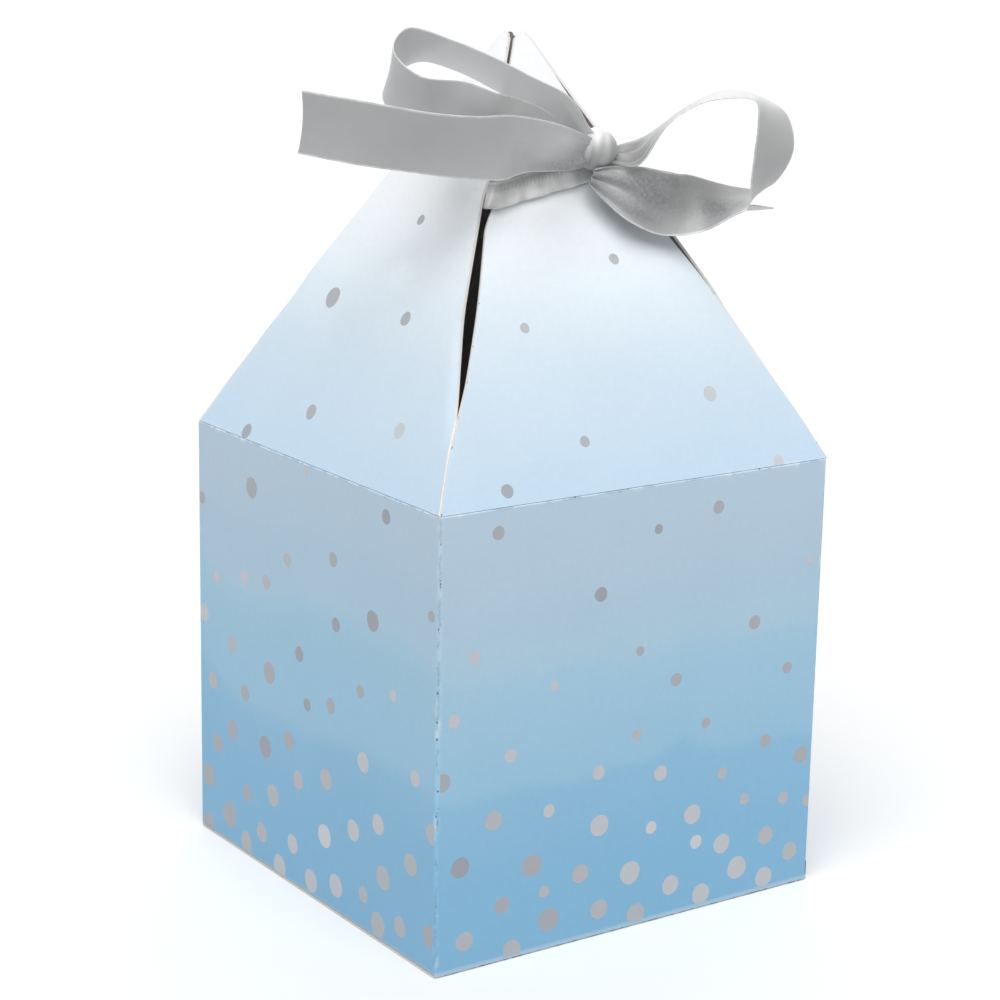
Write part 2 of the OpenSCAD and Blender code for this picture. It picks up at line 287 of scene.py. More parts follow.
def smooth_step(tree, value, low, high):
    """0 below low, 1 above high, and an even S between."""
    node = tree.nodes.new("ShaderNodeMapRange")
    node.interpolation_type = "SMOOTHSTEP"
    set_sockets(node, From_Min=low, From_Max=high)
    tree.links.new(value, node.inputs["Value"])
    return node.outputs[0]

# %% Nodes for colours and relief
def mix_color(tree, factor, first, second, blend="MIX"):
    """Two colours mixed by a factor; each is a colour or an output socket."""
    node = tree.nodes.new("ShaderNodeMix")
    node.data_type, node.blend_type = "RGBA", blend
    for value, socket in ((factor, node.inputs[0]), (first, node.inputs[6]), (second, node.inputs[7])):
        if hasattr(value, "is_output"):
            tree.links.new(value, socket)
        else:
            socket.default_value = value
    return node.outputs[2]

def color_ramp(tree, value, stops):
    """Colour ramp with (place, colour) stops."""
    node = tree.nodes.new("ShaderNodeValToRGB")
    ramp = node.color_ramp
    ramp.elements[0].position, ramp.elements[0].color = stops[0][0], stops[0][1]
    ramp.elements[1].position, ramp.elements[1].color = stops[-1][0], stops[-1][1]
    for place, color in stops[1:-1]:
        ramp.elements.new(place).color = color
    tree.links.new(value, node.inputs[0])
    return node.outputs[0]

def bump(tree, shader, height, distance, strength):
    """Surface relief: a height of 1 stands a distance in metres over a height of 0."""
    node = tree.nodes.new("ShaderNodeBump")
    set_sockets(node, Distance=distance, Strength=strength)
    tree.links.new(height, node.inputs["Height"])
    tree.links.new(node.outputs[0], shader.inputs["Normal"])

# %% What a mesh tells its material
def attribute(tree, name):
    """A value that the mesh carries at each point."""
    node = tree.nodes.new("ShaderNodeAttribute")
    node.attribute_name = name
    return node.outputs["Fac"]

def flat_layout(tree):
    """The flat layout in metres, and its second part: up the blank or across the ribbon."""
    layout = tree.nodes.new("ShaderNodeUVMap")
    layout.uv_map = "flat"
    parts = tree.nodes.new("ShaderNodeSeparateXYZ")
    link(tree, layout, 0, parts, 0)
    return layout.outputs[0], parts.outputs[1]

# %% Wash of the printed board
BLANK_H = 151.0     # height of the blank from the table to a flap's tip

printed, tree, shader = new_material("printed_board")
flat, up_blank = flat_layout(tree)
# tide lines: the mesh says how far each line is lifted, and noise makes it ragged
bent = math_node(tree, "MULTIPLY_ADD", attribute(tree, "tide_mm"), -MM, up_blank)
bent = math_node(tree, "MULTIPLY_ADD", noise_node(tree, flat, 45.0, 2.0), 0.005, bent)
bent = math_node(tree, "MULTIPLY_ADD", noise_node(tree, flat, 160.0, 4.0), 0.003, bent)
place = math_node(tree, "DIVIDE", bent, BLANK_H * MM)
wash = color_ramp(tree, place, [
    (0.0, srgb(143, 197, 232)), (0.10, srgb(145, 199, 233)), (0.180, srgb(153, 203, 235)),
    (0.198, srgb(165, 210, 238)), (0.290, srgb(175, 215, 238)), (0.312, srgb(185, 217, 238)),
    (0.375, srgb(189, 217, 237)), (0.392, srgb(193, 218, 237)), (0.50, srgb(198, 221, 239)),
    (0.62, srgb(215, 231, 243)), (0.70, srgb(230, 241, 249)), (0.79, srgb(246, 249, 252)),
    (1.0, srgb(251, 251, 252))])
# the pigment settles unevenly, in flecks of about 1 mm
mottle = noise_node(tree, flat, 900.0, 4.0, 0.65)
mottle_shade = math_node(tree, "MULTIPLY_ADD", mottle, 0.09, 1.0)
clouds = noise_node(tree, flat, 60.0, 3.0)
cloud_shade = math_node(tree, "MULTIPLY_ADD", clouds, 0.05, mottle_shade)
shade = tree.nodes.new("ShaderNodeCombineColor")
for channel in range(3):
    link(tree, cloud_shade.node, 0, shade, channel)
ink = mix_color(tree, 1.0, wash, shade.outputs[0], "MULTIPLY")
print("wash:", len(tree.nodes), "nodes")

# %% Wear of the printed board
ragged = noise_node(tree, flat, 1400.0, 3.0, 0.7)
fold = math_node(tree, "MULTIPLY_ADD", ragged, -0.45, attribute(tree, "fold_mm"))
cut = math_node(tree, "MULTIPLY_ADD", ragged, -0.75, attribute(tree, "cut_mm"))

def zone(distance, near, far):
    """1 up to the near distance, falling to 0 at the far one."""
    return math_node(tree, "SUBTRACT", 1.0, smooth_step(tree, distance, near, far))

def patches(scale, detail, low, high):
    """Islands where a rough noise is high, with soft edges between low and high."""
    return smooth_step(tree, noise_node(tree, flat, scale, detail, 0.6), low, high)

scuffed, broken = patches(170.0, 3.0, 0.06, 0.2), patches(330.0, 3.0, -0.04, 0.08)
specks = patches(700.0, 2.0, 0.15, 0.20)
near_edge = math_node(tree, "MAXIMUM", zone(fold, 0.05, 0.18), zone(cut, 0.05, 0.16))
# painted light at the foot: a pale strip of painted highlight on its rounded fold, and a dark hairline of
# painted contact shadow below it
height_mm = math_node(tree, "MULTIPLY", math_node(tree, "ABSOLUTE", up_blank), 1 / MM)
foot = math_node(tree, "MULTIPLY_ADD", ragged, -0.5, height_mm)
WEAR_AND_FOOT_LIGHT = (        # where, broken up by, how strong, colour
    (zone(fold, 0.15, 0.7), scuffed, 0.5, srgb(240, 245, 249)),
    (zone(fold, 0.02, 0.26), broken, 0.36, srgb(112, 140, 162)),
    (zone(cut, 0.08, 0.30), 1.0, 0.55, srgb(232, 230, 232)),
    (near_edge, specks, 0.85, srgb(62, 74, 86)),
    # the last two rows: painted highlight on the foot's fold, and painted contact shadow under it
    (zone(foot, 0.5, 1.2), 1.0, 0.5, srgb(214, 232, 243)),
    (zone(foot, 0.12, 0.28), broken, 0.8, srgb(58, 64, 72)))
for where, breaks, level, color in WEAR_AND_FOOT_LIGHT:
    mask = math_node(tree, "MULTIPLY", math_node(tree, "MULTIPLY", where, breaks), level)
    ink = mix_color(tree, mask, ink, color)
tree.links.new(ink, shader.inputs["Base Color"])
set_sockets(shader, Specular_IOR_Level=0.35)
gloss = math_node(tree, "MULTIPLY_ADD", mottle, 0.10, 0.52)
tree.links.new(gloss, shader.inputs["Roughness"])
paper_grain = noise_node(tree, flat, 3200.0, 3.0, 0.6)
bump(tree, shader, paper_grain, 0.02 * MM, 0.5)
print("printed board:", len(tree.nodes), "nodes")

# %% [markdown]
# ## Finishes: the plain board
#
# The inside of the blank and its cut edges are bare white board. Bare board is matt and
# shows short fibres, so its noise is stretched along the grain of the paper.

# %% Plain board
plain, tree, shader = new_material("plain_board")
coord = tree.nodes.new("ShaderNodeTexCoord")
stretch = tree.nodes.new("ShaderNodeMapping")
set_sockets(stretch, Scale=(1.0, 1.0, 0.3))
link(tree, coord, "Object", stretch, 0)
fibre = noise_node(tree, stretch.outputs[0], 2600.0, 4.0, 0.7)
patch = noise_node(tree, coord.outputs["Object"], 90.0, 3.0)
board_tone = color_ramp(tree, math_node(tree, "MULTIPLY_ADD", fibre, 0.9, 0.5), [
    (0.2, srgb(222, 220, 217)), (0.8, srgb(244, 243, 241))])
warm = math_node(tree, "MULTIPLY_ADD", patch, 0.8, 0.4)
board_color = mix_color(tree, warm, board_tone, srgb(236, 234, 231))
tree.links.new(board_color, shader.inputs["Base Color"])
set_sockets(shader, Specular_IOR_Level=0.25)
tree.links.new(math_node(tree, "MULTIPLY_ADD", fibre, 0.12, 0.82), shader.inputs["Roughness"])
bump(tree, shader, fibre, 0.04 * MM, 0.6)
print("plain board:", len(tree.nodes), "nodes")

# %% [markdown]
# ## Finishes: the silver dots
#
# The dots are matt silver ink, put on after the wash. Each dot takes the light a little
# differently, because the ink lies on board that is nowhere quite flat. The mesh
# carries one tone per dot, and fine noise gives the ink its grain.

# %% Silver ink
silver, tree, shader = new_material("silver_ink")
coord = tree.nodes.new("ShaderNodeTexCoord")
grain = noise_node(tree, coord.outputs["Object"], 2400.0, 3.0, 0.7)
lit_tone = math_node(tree, "MULTIPLY_ADD", grain, 0.22, attribute(tree, "tone"))
ink_color = color_ramp(tree, lit_tone, [
    (0.0, srgb(164, 168, 176)), (0.35, srgb(180, 183, 188)),
    (0.7, srgb(198, 201, 205)), (1.0, srgb(212, 215, 219))])
tree.links.new(ink_color, shader.inputs["Base Color"])
set_sockets(shader, Metallic=0.25)
tree.links.new(math_node(tree, "MULTIPLY_ADD", grain, 0.2, 0.5), shader.inputs["Roughness"])
bump(tree, shader, grain, 0.015 * MM, 0.5)
print("silver ink:", len(tree.nodes), "nodes")

# %% [markdown]
# ## Finishes: the satin ribbon
#
# Satin is woven so that long threads float along its face. That gives a broad sheen
# across the threads, fine streaks along them, and a firmer, paler selvedge at each
# edge. The flat layout of each stretch runs along the ribbon and across it, so streaks,
# threads and selvedge all follow its curves. A ribbon is thin enough for light to soak
# through it, which keeps its shaded side bright; subsurface scattering does that.

# %% Colour of the satin
satin, tree, shader = new_material("satin_ribbon")
flat, across_ribbon = flat_layout(tree)
long_threads = tree.nodes.new("ShaderNodeMapping")
set_sockets(long_threads, Scale=(0.06, 1.0, 1.0))
tree.links.new(flat, long_threads.inputs[0])
streak = noise_node(tree, long_threads.outputs[0], 5200.0, 3.0, 0.6)
broad = noise_node(tree, flat, 160.0, 3.0)
satin_tone = math_node(tree, "MULTIPLY_ADD", streak, 0.16, 0.5)
satin_tone = math_node(tree, "MULTIPLY_ADD", broad, 0.10, satin_tone)
satin_color = color_ramp(tree, satin_tone, [
    (0.30, srgb(174, 174, 174)), (0.5, srgb(185, 185, 185)), (0.72, srgb(200, 200, 200))])
# painted shade in crumples, pleat hollows, creases and between stitches, mottled by noise
shade_mottle = math_node(tree, "MULTIPLY_ADD", noise_node(tree, flat, 1500.0, 4.0, 0.8), 1.4, 0.6)
mottled_shade_mask = math_node(tree, "MULTIPLY", attribute(tree, "crush"), shade_mottle)
# the selvedge is pale, with weak places, and fades where the ribbon is drawn together
SELVEDGE_IN, SELVEDGE_OUT = 0.93 * RIBBON_W / 2, 0.97 * RIBBON_W / 2
off_middle = math_node(tree, "ABSOLUTE", across_ribbon)
selvedge = smooth_step(tree, off_middle, SELVEDGE_IN * MM, SELVEDGE_OUT * MM)
edge_beat = smooth_step(tree, noise_node(tree, flat, 420.0, 2.0), -0.12, 0.12)
free = smooth_step(tree, attribute(tree, "root_mm"), 2.0, 9.0)
edge_white = math_node(tree, "MULTIPLY", selvedge, math_node(tree, "MULTIPLY_ADD", edge_beat, 0.5, 0.5))
# painted highlight: folds of the knot and the band are lightened towards white where light would catch them;
# the satin is also a little glossier there
gleam_here = attribute(tree, "gleam")
# mixed in turn: painted shade on strands turned from the light, painted shade in crumples, the pale
# selvedge, painted highlight
for mask, level, color in ((attribute(tree, "dull"), 0.8, srgb(104, 104, 105)),
                           (mottled_shade_mask, 0.95, srgb(90, 90, 92)),
                           (edge_white, free, srgb(226, 226, 226)),
                           (gleam_here, 0.8, srgb(252, 252, 252))):
    satin_color = mix_color(tree, math_node(tree, "MULTIPLY", mask, level), satin_color, color)
tree.links.new(satin_color, shader.inputs["Base Color"])
print("satin colour:", len(tree.nodes), "nodes")

# %% Gloss and relief of the satin
set_sockets(shader, Specular_IOR_Level=0.55, Sheen_Weight=0.25, Sheen_Roughness=0.35, Anisotropic=0.6,
           Subsurface_Weight=0.45, Subsurface_Radius=(1.0, 1.0, 1.0), Subsurface_Scale=1.6 * MM)
rough = math_node(tree, "MULTIPLY_ADD", streak, 0.12, 0.36)
rough = math_node(tree, "MULTIPLY_ADD", gleam_here, -0.12, rough)
tree.links.new(rough, shader.inputs["Roughness"])
along = tree.nodes.new("ShaderNodeTangent")
along.direction_type, along.uv_map = "UV_MAP", "flat"
link(tree, along, 0, shader, "Tangent")
picks = tree.nodes.new("ShaderNodeTexWave")
picks.wave_type, picks.bands_direction = "BANDS", "X"
set_sockets(picks, Scale=950.0, Distortion=1.2, Detail=2.0)
tree.links.new(flat, picks.inputs["Vector"])
relief = math_node(tree, "MULTIPLY_ADD", picks.outputs[1], 0.25, streak)
relief = math_node(tree, "MULTIPLY_ADD", selvedge, 0.8, relief)
bump(tree, shader, relief, 0.04 * MM, 0.55)
print("satin:", len(tree.nodes), "nodes")

# %% [markdown]
# ## Standing a panel on its side of the box
#
# Every wall and flap is worked out in the front wall's place, and then turned about the
# upright axis by quarter turns: left is -1, back is 2 and right is 1.

# %% Quarter turns and steps
TURN = {"front": 0, "left": -1, "back": 2, "right": 1}

def turned(points, side):
    """Points turned about the upright axis from the front wall's place to a side."""
    angle = math.radians(90 * TURN[side])
    c, s = round(math.cos(angle)), round(math.sin(angle))
    x, y, z = points[..., 0], points[..., 1], points[..., 2]
    return np.stack([c * x - s * y, s * x + c * y, z], -1)

def fine_ends(low, high, count, edge=(0.0, 0.12, 0.3, 0.6, 1.2, 2.4)):
    """Steps from low to high that are close together near both ends."""
    near = np.array(edge)
    middle = np.linspace(low + near[-1], high - near[-1], count)
    return np.concatenate([low + near[:-1], middle, (high - near[:-1])[::-1]])

def unit(v):
    """Each arrow at length 1."""
    return v / np.linalg.norm(v, axis=-1, keepdims=True)

# %% [markdown]
# ## The walls
#
# A wall is a strip of board. Its plan is a straight line whose ends turn through half
# of each corner, so that neighbouring walls meet in one round fold. Its upper and
# lower ends are round folds too: the thickness shrinks to nothing along a quarter
# circle. The board swells by a fraction of a millimetre in the middle, as a thin box
# does. A box modelled with a plain cube and a bevel would have none of this.

# %% Tide lines of the wash: across the blank, height
UPPER_TIDE = np.array([
    (-114, 49.5), (-103, 47), (-91, 48.5), (-82, 50), (-72, 51.5), (-52, 52), (-44, 50.5), (-38, 49),
    (-35, 46), (-30, 47), (-17, 47), (3, 46.5), (14, 47.5), (23, 47), (38, 47), (52, 46), (66, 48.5),
    (80, 47), (95, 50), (114, 48), (130, 46.5), (150, 49), (190, 49)])
LOWER_TIDE = np.array([
    (-114, 33), (-103, 29), (-93, 27), (-82, 28), (-72, 30), (-60, 31), (-40, 30.5), (-34, 28), (-9, 28),
    (2, 29), (9, 31), (18, 27.5), (38, 27.5), (55, 30), (70, 27.5), (88, 29), (114, 32), (135, 28),
    (160, 29.5), (190, 33)])
UPPER_STEP, LOWER_STEP = 46, 29     # heights of the two close steps in the colour ramp
CHANGE_FROM, CHANGE_TO = 33, 42     # between these, one line's lift changes to the other's
TIDE_TOP, TIDE_FADE = 72, 12        # above and below, the lift dies away over TIDE_FADE

def tide_mm(u, v):
    """How far the wash is lifted at u across the blank and v up it: each line's height
    over its step in the ramp, mixed by height and faded out towards top and foot."""
    low = np.interp(u, LOWER_TIDE[:, 0], LOWER_TIDE[:, 1]) - LOWER_STEP
    high = np.interp(u, UPPER_TIDE[:, 0], UPPER_TIDE[:, 1]) - UPPER_STEP
    share = np.clip((v - CHANGE_FROM) / (CHANGE_TO - CHANGE_FROM), 0, 1)
    fade = np.clip((TIDE_TOP - v) / TIDE_FADE, 0, 1) * np.clip(v / TIDE_FADE, 0, 1)
    return (low + (high - low) * share) * fade

print("the tide lines wander over", np.ptp(LOWER_TIDE[:, 1]), "and", np.ptp(UPPER_TIDE[:, 1]), "mm")

# %% Boards from grids
def make_board(name, mid, normal, half, flat_xy, to_fold, to_cut, bare_columns=0):
    """A board that is printed on its outer side. Its inner side, its rim and the first
    few columns of its grid stay bare. Its points carry their distances to the nearest
    fold and cut, at most 9 mm, and the lift of the tide lines."""
    points, faces, count = closed_sheet(mid, normal, half)
    finish = np.repeat([0, 1, 1], count)
    finish[:count[0]].reshape(len(mid) - 1, -1)[:, :bare_columns] = 1
    values = {"fold_mm": to_fold, "cut_mm": to_cut, "tide_mm": tide_mm(flat_xy[..., 0], flat_xy[..., 1])}
    values = {key: np.clip(value, -9, 9) for key, value in values.items()}
    return make_piece(name, points, faces, [printed, plain], finish, flat_xy, values)

# %% Wall surface
SWELL, WAVE = 0.22, 0.03     # how far a wall swells, and how deep the waves on it are

def wall_bulge(x, z):
    """Swelling of a wall: a low dome, zero at the folds, with a slight slow wave."""
    dome = (1 - (x / HALF_W) ** 2) * np.sin(np.pi * np.clip(z / WALL_H, 0, 1))
    return SWELL * dome + WAVE * np.sin(x * 0.21 + 1.0) * np.sin(z * 0.17) * dome

def wall_mid(x, z, start=-HALF_W + CORNER_R, end=HALF_W - CORNER_R):
    """Middle of a wall's board at path distance x from the middle and height z.
    Between start and end the path is straight; beyond them it turns about a centre
    CORNER_R in from both faces. Returns points and outward directions."""
    radius = CORNER_R - HALF_T
    before, after = np.minimum(x - start, 0), np.maximum(x - end, 0)
    angle = -np.pi / 2 + (before + after) / radius
    centre_x = np.clip(x, start, end)
    normal = np.stack([np.cos(angle), np.sin(angle), np.zeros_like(angle)], -1)
    points = np.stack([centre_x, np.full_like(x, -HALF_W + CORNER_R), z], -1)
    points = points + normal * radius
    points[..., 1] -= wall_bulge(centre_x, z)
    return points, normal

# %% One wall
ARC = (CORNER_R - HALF_T) * np.pi / 4      # length of half a corner, along the middle

def build_wall(side, start, end, bottom, round_foot=True, arcs=(True, True)):
    """A wall between two path ends, from its foot to the crease."""
    low = start - ARC if arcs[0] else start
    high = end + ARC if arcs[1] else end
    across = fine_ends(low, high, 44, (0.0, 0.1, 0.2, 0.3, 0.6, 1.2))
    turn = np.radians([90, 68, 45, 22])
    top_z, top_half = WALL_H + HALF_T * np.sin(turn)[::-1], HALF_T * np.cos(turn)[::-1]
    z_rows = fine_ends(bottom + (HALF_T if round_foot else 0), WALL_H, 44)
    z_half = np.full(len(z_rows), HALF_T)
    if round_foot:
        z_rows = np.concatenate([bottom + HALF_T - HALF_T * np.sin(turn), z_rows])
        z_half = np.concatenate([HALF_T * np.cos(turn), z_half])
    z_rows, z_half = np.concatenate([z_rows, top_z]), np.concatenate([z_half, top_half])
    z, x = np.meshgrid(z_rows, across, indexing="ij")
    mid, normal = wall_mid(x, z, start, end)
    half = np.maximum(z_half, 0.004)[:, None]       # a fold's end keeps a hair of thickness
    to_fold = np.minimum(np.minimum(x - low, high - x), WALL_H + 0.1 - z)
    flat_xy = np.stack([x + BASE_W * TURN[side], z], -1)
    seam_fold = 4 if side == "right" else 0         # the fold beside the seam is bare board
    return make_board(side + "_wall_board", turned(mid, side), turned(normal, side), half, flat_xy,
                      to_fold, z - bottom, seam_fold)

# %% Walls
inner = HALF_W - CORNER_R
DUST_FOLD = BOARD_T + 0.1           # underside of a side wall's lower fold
TAB_Y = -HALF_W + BOARD_T + 0.05    # outer face of the glue tab
walls = {
    "front": build_wall("front", -inner, HALF_W - SEAM_W, 0.0, True, (True, False)),
    "left": build_wall("left", -inner, inner, DUST_FOLD),
    "back": build_wall("back", -inner, inner, 0.0, False),
    "right": build_wall("right", TAB_Y + CORNER_R, inner, DUST_FOLD),
}
for side, piece in walls.items():
    stand_in(piece, "carton", side + "_wall")

# %% [markdown]
# ## The glue tab
#
# The carton's side seam is closed by a tab inside the front right corner. The front
# wall stops a little short of that corner, and the bare strip of the fold shows as a
# pale upright line. The tab is the same kind of strip as a wall, cut to a taper.

# %% Glue tab
def build_tab(width=12.0, end_gap=3.0, taper=3.0):
    """Strip behind the front wall, from the corner inwards; its ends slope with the
    distance from the corner."""
    corner_y = TAB_Y + CORNER_R
    x_path = fine_ends(HALF_W - width, inner + ARC, 16, (0.0, 0.15, 0.3, 0.6))
    share = np.clip((HALF_W - x_path) / width, 0, 1)
    t = np.linspace(0, 1, 60)[:, None]
    low, high = end_gap + taper * share, WALL_H - end_gap - taper * share
    z = low + (high - low) * t
    x = np.broadcast_to(x_path, z.shape).copy()
    radius = CORNER_R - HALF_T
    angle = -np.pi / 2 + np.maximum(x - inner, 0) / radius
    normal = np.stack([np.cos(angle), np.sin(angle), np.zeros_like(angle)], -1)
    mid = np.stack([np.minimum(x, inner), np.full_like(x, corner_y), z], -1) + normal * radius
    points, faces, _ = closed_sheet(mid, normal, HALF_T)
    flat_xy = np.stack([x + BASE_W, z], -1)
    return make_piece("glue_tab_board", points, faces, [plain], np.zeros(len(faces)), flat_xy, {})

stand_in(build_tab(), "carton", "glue_tab")

# %% [markdown]
# ## The roof flaps
#
# A flap is a triangle of board with a round tip. Below the ribbon it bellies out, and
# at the ribbon the front and back flaps are drawn in while the side flaps stand over
# the band. The profile joins these heights with even S curves. The front and back
# flaps have a shallow notch in each edge, where the band turns the corner.

# %% Profile of a flap
BELLY_S = NECK_S * 0.55     # how far up the flap it bellies out most
NIPPED = ("front", "back")  # the flaps that the ribbon draws in
AT_NECK = {side: -PINCH if side in NIPPED else STAND_OUT for side in TURN}

def ease(a):
    """Even S curve from 0 to 1."""
    return (1 - np.cos(np.pi * np.clip(a, 0, 1))) / 2

def flap_bulge(s, at_neck):
    """Height of a flap over its straight line at s up the flap: a rise to the belly,
    a change to the neck's height, and a fall to the tip."""
    rise = BELLY * ease(s / BELLY_S)
    change = BELLY + (at_neck - BELLY) * ease((s - BELLY_S) / (NECK_S - BELLY_S))
    fall = at_neck * (1 - ease((s - NECK_S) / (FLAP_LEN - NECK_S)))
    return np.where(s < BELLY_S, rise, np.where(s < NECK_S, change, fall))

def flap_off(z, at_neck):
    """Distance from the centre line to a closed flap's middle at height z over the
    creases. It is also the half width at which two flaps would meet in a sharp edge."""
    return MID_W - z * math.tan(LEAN) + flap_bulge(z / math.cos(LEAN), at_neck) / math.cos(LEAN)

def leaned(vectors):
    """Vectors of a flap's own frame (right, in, up the flap), turned back by its lean."""
    c, k = math.cos(LEAN), math.sin(LEAN)
    x, y, z = vectors[..., 0], vectors[..., 1], vectors[..., 2]
    return np.stack([x, y * c + z * k, -y * k + z * c], -1)

NECK_OFF = float(flap_off(np.array(NECK_H), -PINCH))
print("the front flap is", round(NECK_OFF, 2), "mm off the centre line at the neck")

# %% Outline of a flap
FLAP_HALF = MID_W - EDGE_GAP

def edge_half(s):
    """Half width of a flap without its notch: a straight taper to the tip's width."""
    return FLAP_HALF + (TIP_W / 2 - FLAP_HALF) * s / FLAP_LEN

NIP_RISE = BAND_TILT * edge_half(NECK_S) / math.cos(LEAN)

def cut_half(s, notch, side):
    """Half width with a smooth notch round the neck, and a half circle at the tip."""
    dip = notch * (1 - ease(np.abs(s - NECK_S - side * NIP_RISE) / (NOTCH_LEN / 2)))
    radius = TIP_W / 2
    over = np.clip(s - (FLAP_LEN - radius), 0, radius)
    cap = np.sqrt(np.maximum(radius ** 2 - over ** 2, 0))
    return np.where(s > FLAP_LEN - radius, cap, edge_half(s) - dip)

print("a flap is", round(2 * edge_half(NECK_S), 1), "mm wide at the neck")

# %% Surface of a flap
LEFT_DENTS = ((10.5, 50, 3.0, 35, -1.0, 2.6), (7, 47, -4, 26, 0.45, 4.5))
FRONT_DENTS = ((-2, 42, 9, 6, 0.25), (12, 40, 6, 8, -0.2))

def dents(side, x, s):
    """Soft hand-made dents, in millimetres outwards. On the left flap each runs from one
    (across, up) place to another, with a depth and a width: a bell across its line that
    fades past its ends. On the front flap each is a bell both ways, with its place, its
    spread across and up, and its depth."""
    out = np.zeros_like(x)
    if side == "left":
        for x0, s0, x1, s1, depth, wide in LEFT_DENTS:
            ux, us = x1 - x0, s1 - s0
            length = math.hypot(ux, us)
            run = ((x - x0) * ux + (s - s0) * us) / length ** 2
            off = ((x - x0) * us - (s - s0) * ux) / length
            past_end = np.clip(np.abs(run - 0.4) - 0.5, 0, None)
            out += depth * np.exp(-(off / wide) ** 2) * np.exp(-past_end ** 2 * 18)
    if side == "front":
        for x0, s0, wide, tall, depth in FRONT_DENTS:
            out += depth * np.exp(-((x - x0) / wide) ** 2 - ((s - s0) / tall) ** 2)
    return out * ease((s - 4) / 10)

def flap_mid(side, x, s):
    """Middle of a closed flap's board and its outward direction, x across and s up."""
    step = 0.05     # the slopes are differences over this length
    rise = flap_bulge(s, AT_NECK[side]) + dents(side, x, s)
    slope_s = (flap_bulge(s + step, AT_NECK[side]) + dents(side, x, s + step) - rise) / step
    slope_x = (flap_bulge(s, AT_NECK[side]) + dents(side, x + step, s) - rise) / step
    points = leaned(np.stack([x, -rise, s], -1)) + [0, -MID_W, WALL_H]
    normal = leaned(unit(np.stack([-slope_x, -np.ones_like(x), -slope_s], -1)))
    return turned(points, side), turned(normal, side)

# %% Lower edges of a flap
FOLD_START = 0.25                           # the flap's board starts this far past its fold
CURL_DEEP, CURL_WIDE = 0.4, 1.8             # the curl at the edges of a side flap
CURL_FROM, CURL_TO, CURL_FADE = 8, 24, 8    # where it begins to grow and to fade, and over what length

def low_reach(side, s, reach):
    """Near the crease the flaps close up: the front and back ones lap over the cut
    edges of the side ones. Higher up both return to their own taper."""
    past_edge, start, end = (0.16, 5, 21) if side in NIPPED else (-0.28, 12, 28)
    close = flap_off(s * math.cos(LEAN), AT_NECK[side]) + past_edge
    return reach + (close - reach) * (1 - ease((s - start) / (end - start)))

def curl_in(side, s, to_cut):
    """Inward curl of the side flaps' edges where the front and back ones draw back."""
    if side in NIPPED:
        return 0.0 * s
    return (-CURL_DEEP * ease((s - CURL_FROM) / CURL_FADE) * (1 - ease((s - CURL_TO) / CURL_FADE))
            * (1 - ease(to_cut / CURL_WIDE)))

# %% Roof flaps
def build_flap(side):
    """A closed flap from its fold to its tip."""
    notch = NOTCH_DEPTH if side in NIPPED else 0.0
    high = {"front": 1, "back": -1}.get(side, 0)
    radius = TIP_W / 2
    tip = FLAP_LEN - radius + radius * np.sin(np.radians([0, 20, 38, 54, 68, 80, 87, 90]))
    rows = np.concatenate([fine_ends(FOLD_START, FLAP_LEN - radius, 84)[:-1], tip])
    t = np.concatenate([[-1, -0.985, -0.96, -0.92], np.linspace(-0.88, 0.88, 39), [0.92, 0.96, 0.985, 1]])
    s, share = np.meshgrid(rows, t, indexing="ij")
    left, right_half = cut_half(s, notch, -high), cut_half(s, notch, high)
    reach = low_reach(side, s, np.where(share < 0, left, right_half))
    x = share * np.maximum(reach, 0.01)
    mid, normal = flap_mid(side, x, s)
    mid = mid + normal * curl_in(side, s, reach - np.abs(x))[..., None]
    to_cut = np.minimum(reach - np.abs(x), FLAP_LEN - s)
    flat_xy = np.stack([x + BASE_W * TURN[side], WALL_H + s], -1)
    return make_board(side + "_roof_board", mid, normal, HALF_T, flat_xy, s, to_cut)

for side in TURN:
    stand_in(build_flap(side), side + "_roof", side + "_roof_flap")

# %% [markdown]
# ## The bottom closure
#
# The panel that the box stands on folds from the front wall's foot, and its tongue
# tucks up behind the back wall. Two dust flaps lie on the panel, inside. All are level
# or leaning sheets, so one function with an outline serves for each.

# %% Panels with an outline
FOLD_CLEAR = 0.26       # a panel starts this far from its fold

def build_panel(name, rows, half_width, place, direction=(0, 0, -1)):
    """A flat board: rows are distances from its fold, half_width gives its half width
    there, and place turns (across, distance) into points."""
    t = np.concatenate([[-1, -0.99, -0.97], np.linspace(-0.93, 0.93, 31), [0.97, 0.99, 1]])
    s, share = np.meshgrid(rows, t, indexing="ij")
    x = share * half_width(s)
    mid = place(x, s)
    normal = np.broadcast_to(np.array(direction, float), mid.shape)
    to_cut = np.minimum(half_width(s) - np.abs(x), rows[-1] - s)
    return make_board(name, mid, normal, HALF_T, np.stack([x, -s], -1), s - rows[0], to_cut)

def lying(x, s, height):
    """Places of a level panel that is folded from the front wall's foot."""
    return np.stack([x, s - MID_W, np.full_like(x, height)], -1)

# %% Bottom panel
TUCK_Y = HALF_W - BOARD_T - SLIDE_GAP - HALF_T      # where the tongue leaves the panel

bottom = build_panel("bottom_board", fine_ends(FOLD_CLEAR, MID_W + TUCK_Y + HALF_T * 0.9, 40),
                     lambda s: np.full_like(s, HALF_W - 0.1), lambda x, s: lying(x, s, HALF_T))
closure = [(bottom, "bottom", "bottom_panel")]

# %% Tongue
TUCK_H, TUCK_LEAN, TONGUE_HALF = 14.0, math.radians(12), HALF_W - 2.5
TONGUE_CORNER = TUCK_H * 0.45
tuck_c, tuck_k = math.cos(TUCK_LEAN), math.sin(TUCK_LEAN)

def tongue_half(s):
    """Half width of the tongue: straight, then a quarter circle at each corner."""
    over = np.clip(s - (TUCK_H - TONGUE_CORNER), 0, TONGUE_CORNER)
    return TONGUE_HALF - TONGUE_CORNER + np.sqrt(TONGUE_CORNER ** 2 - over ** 2)

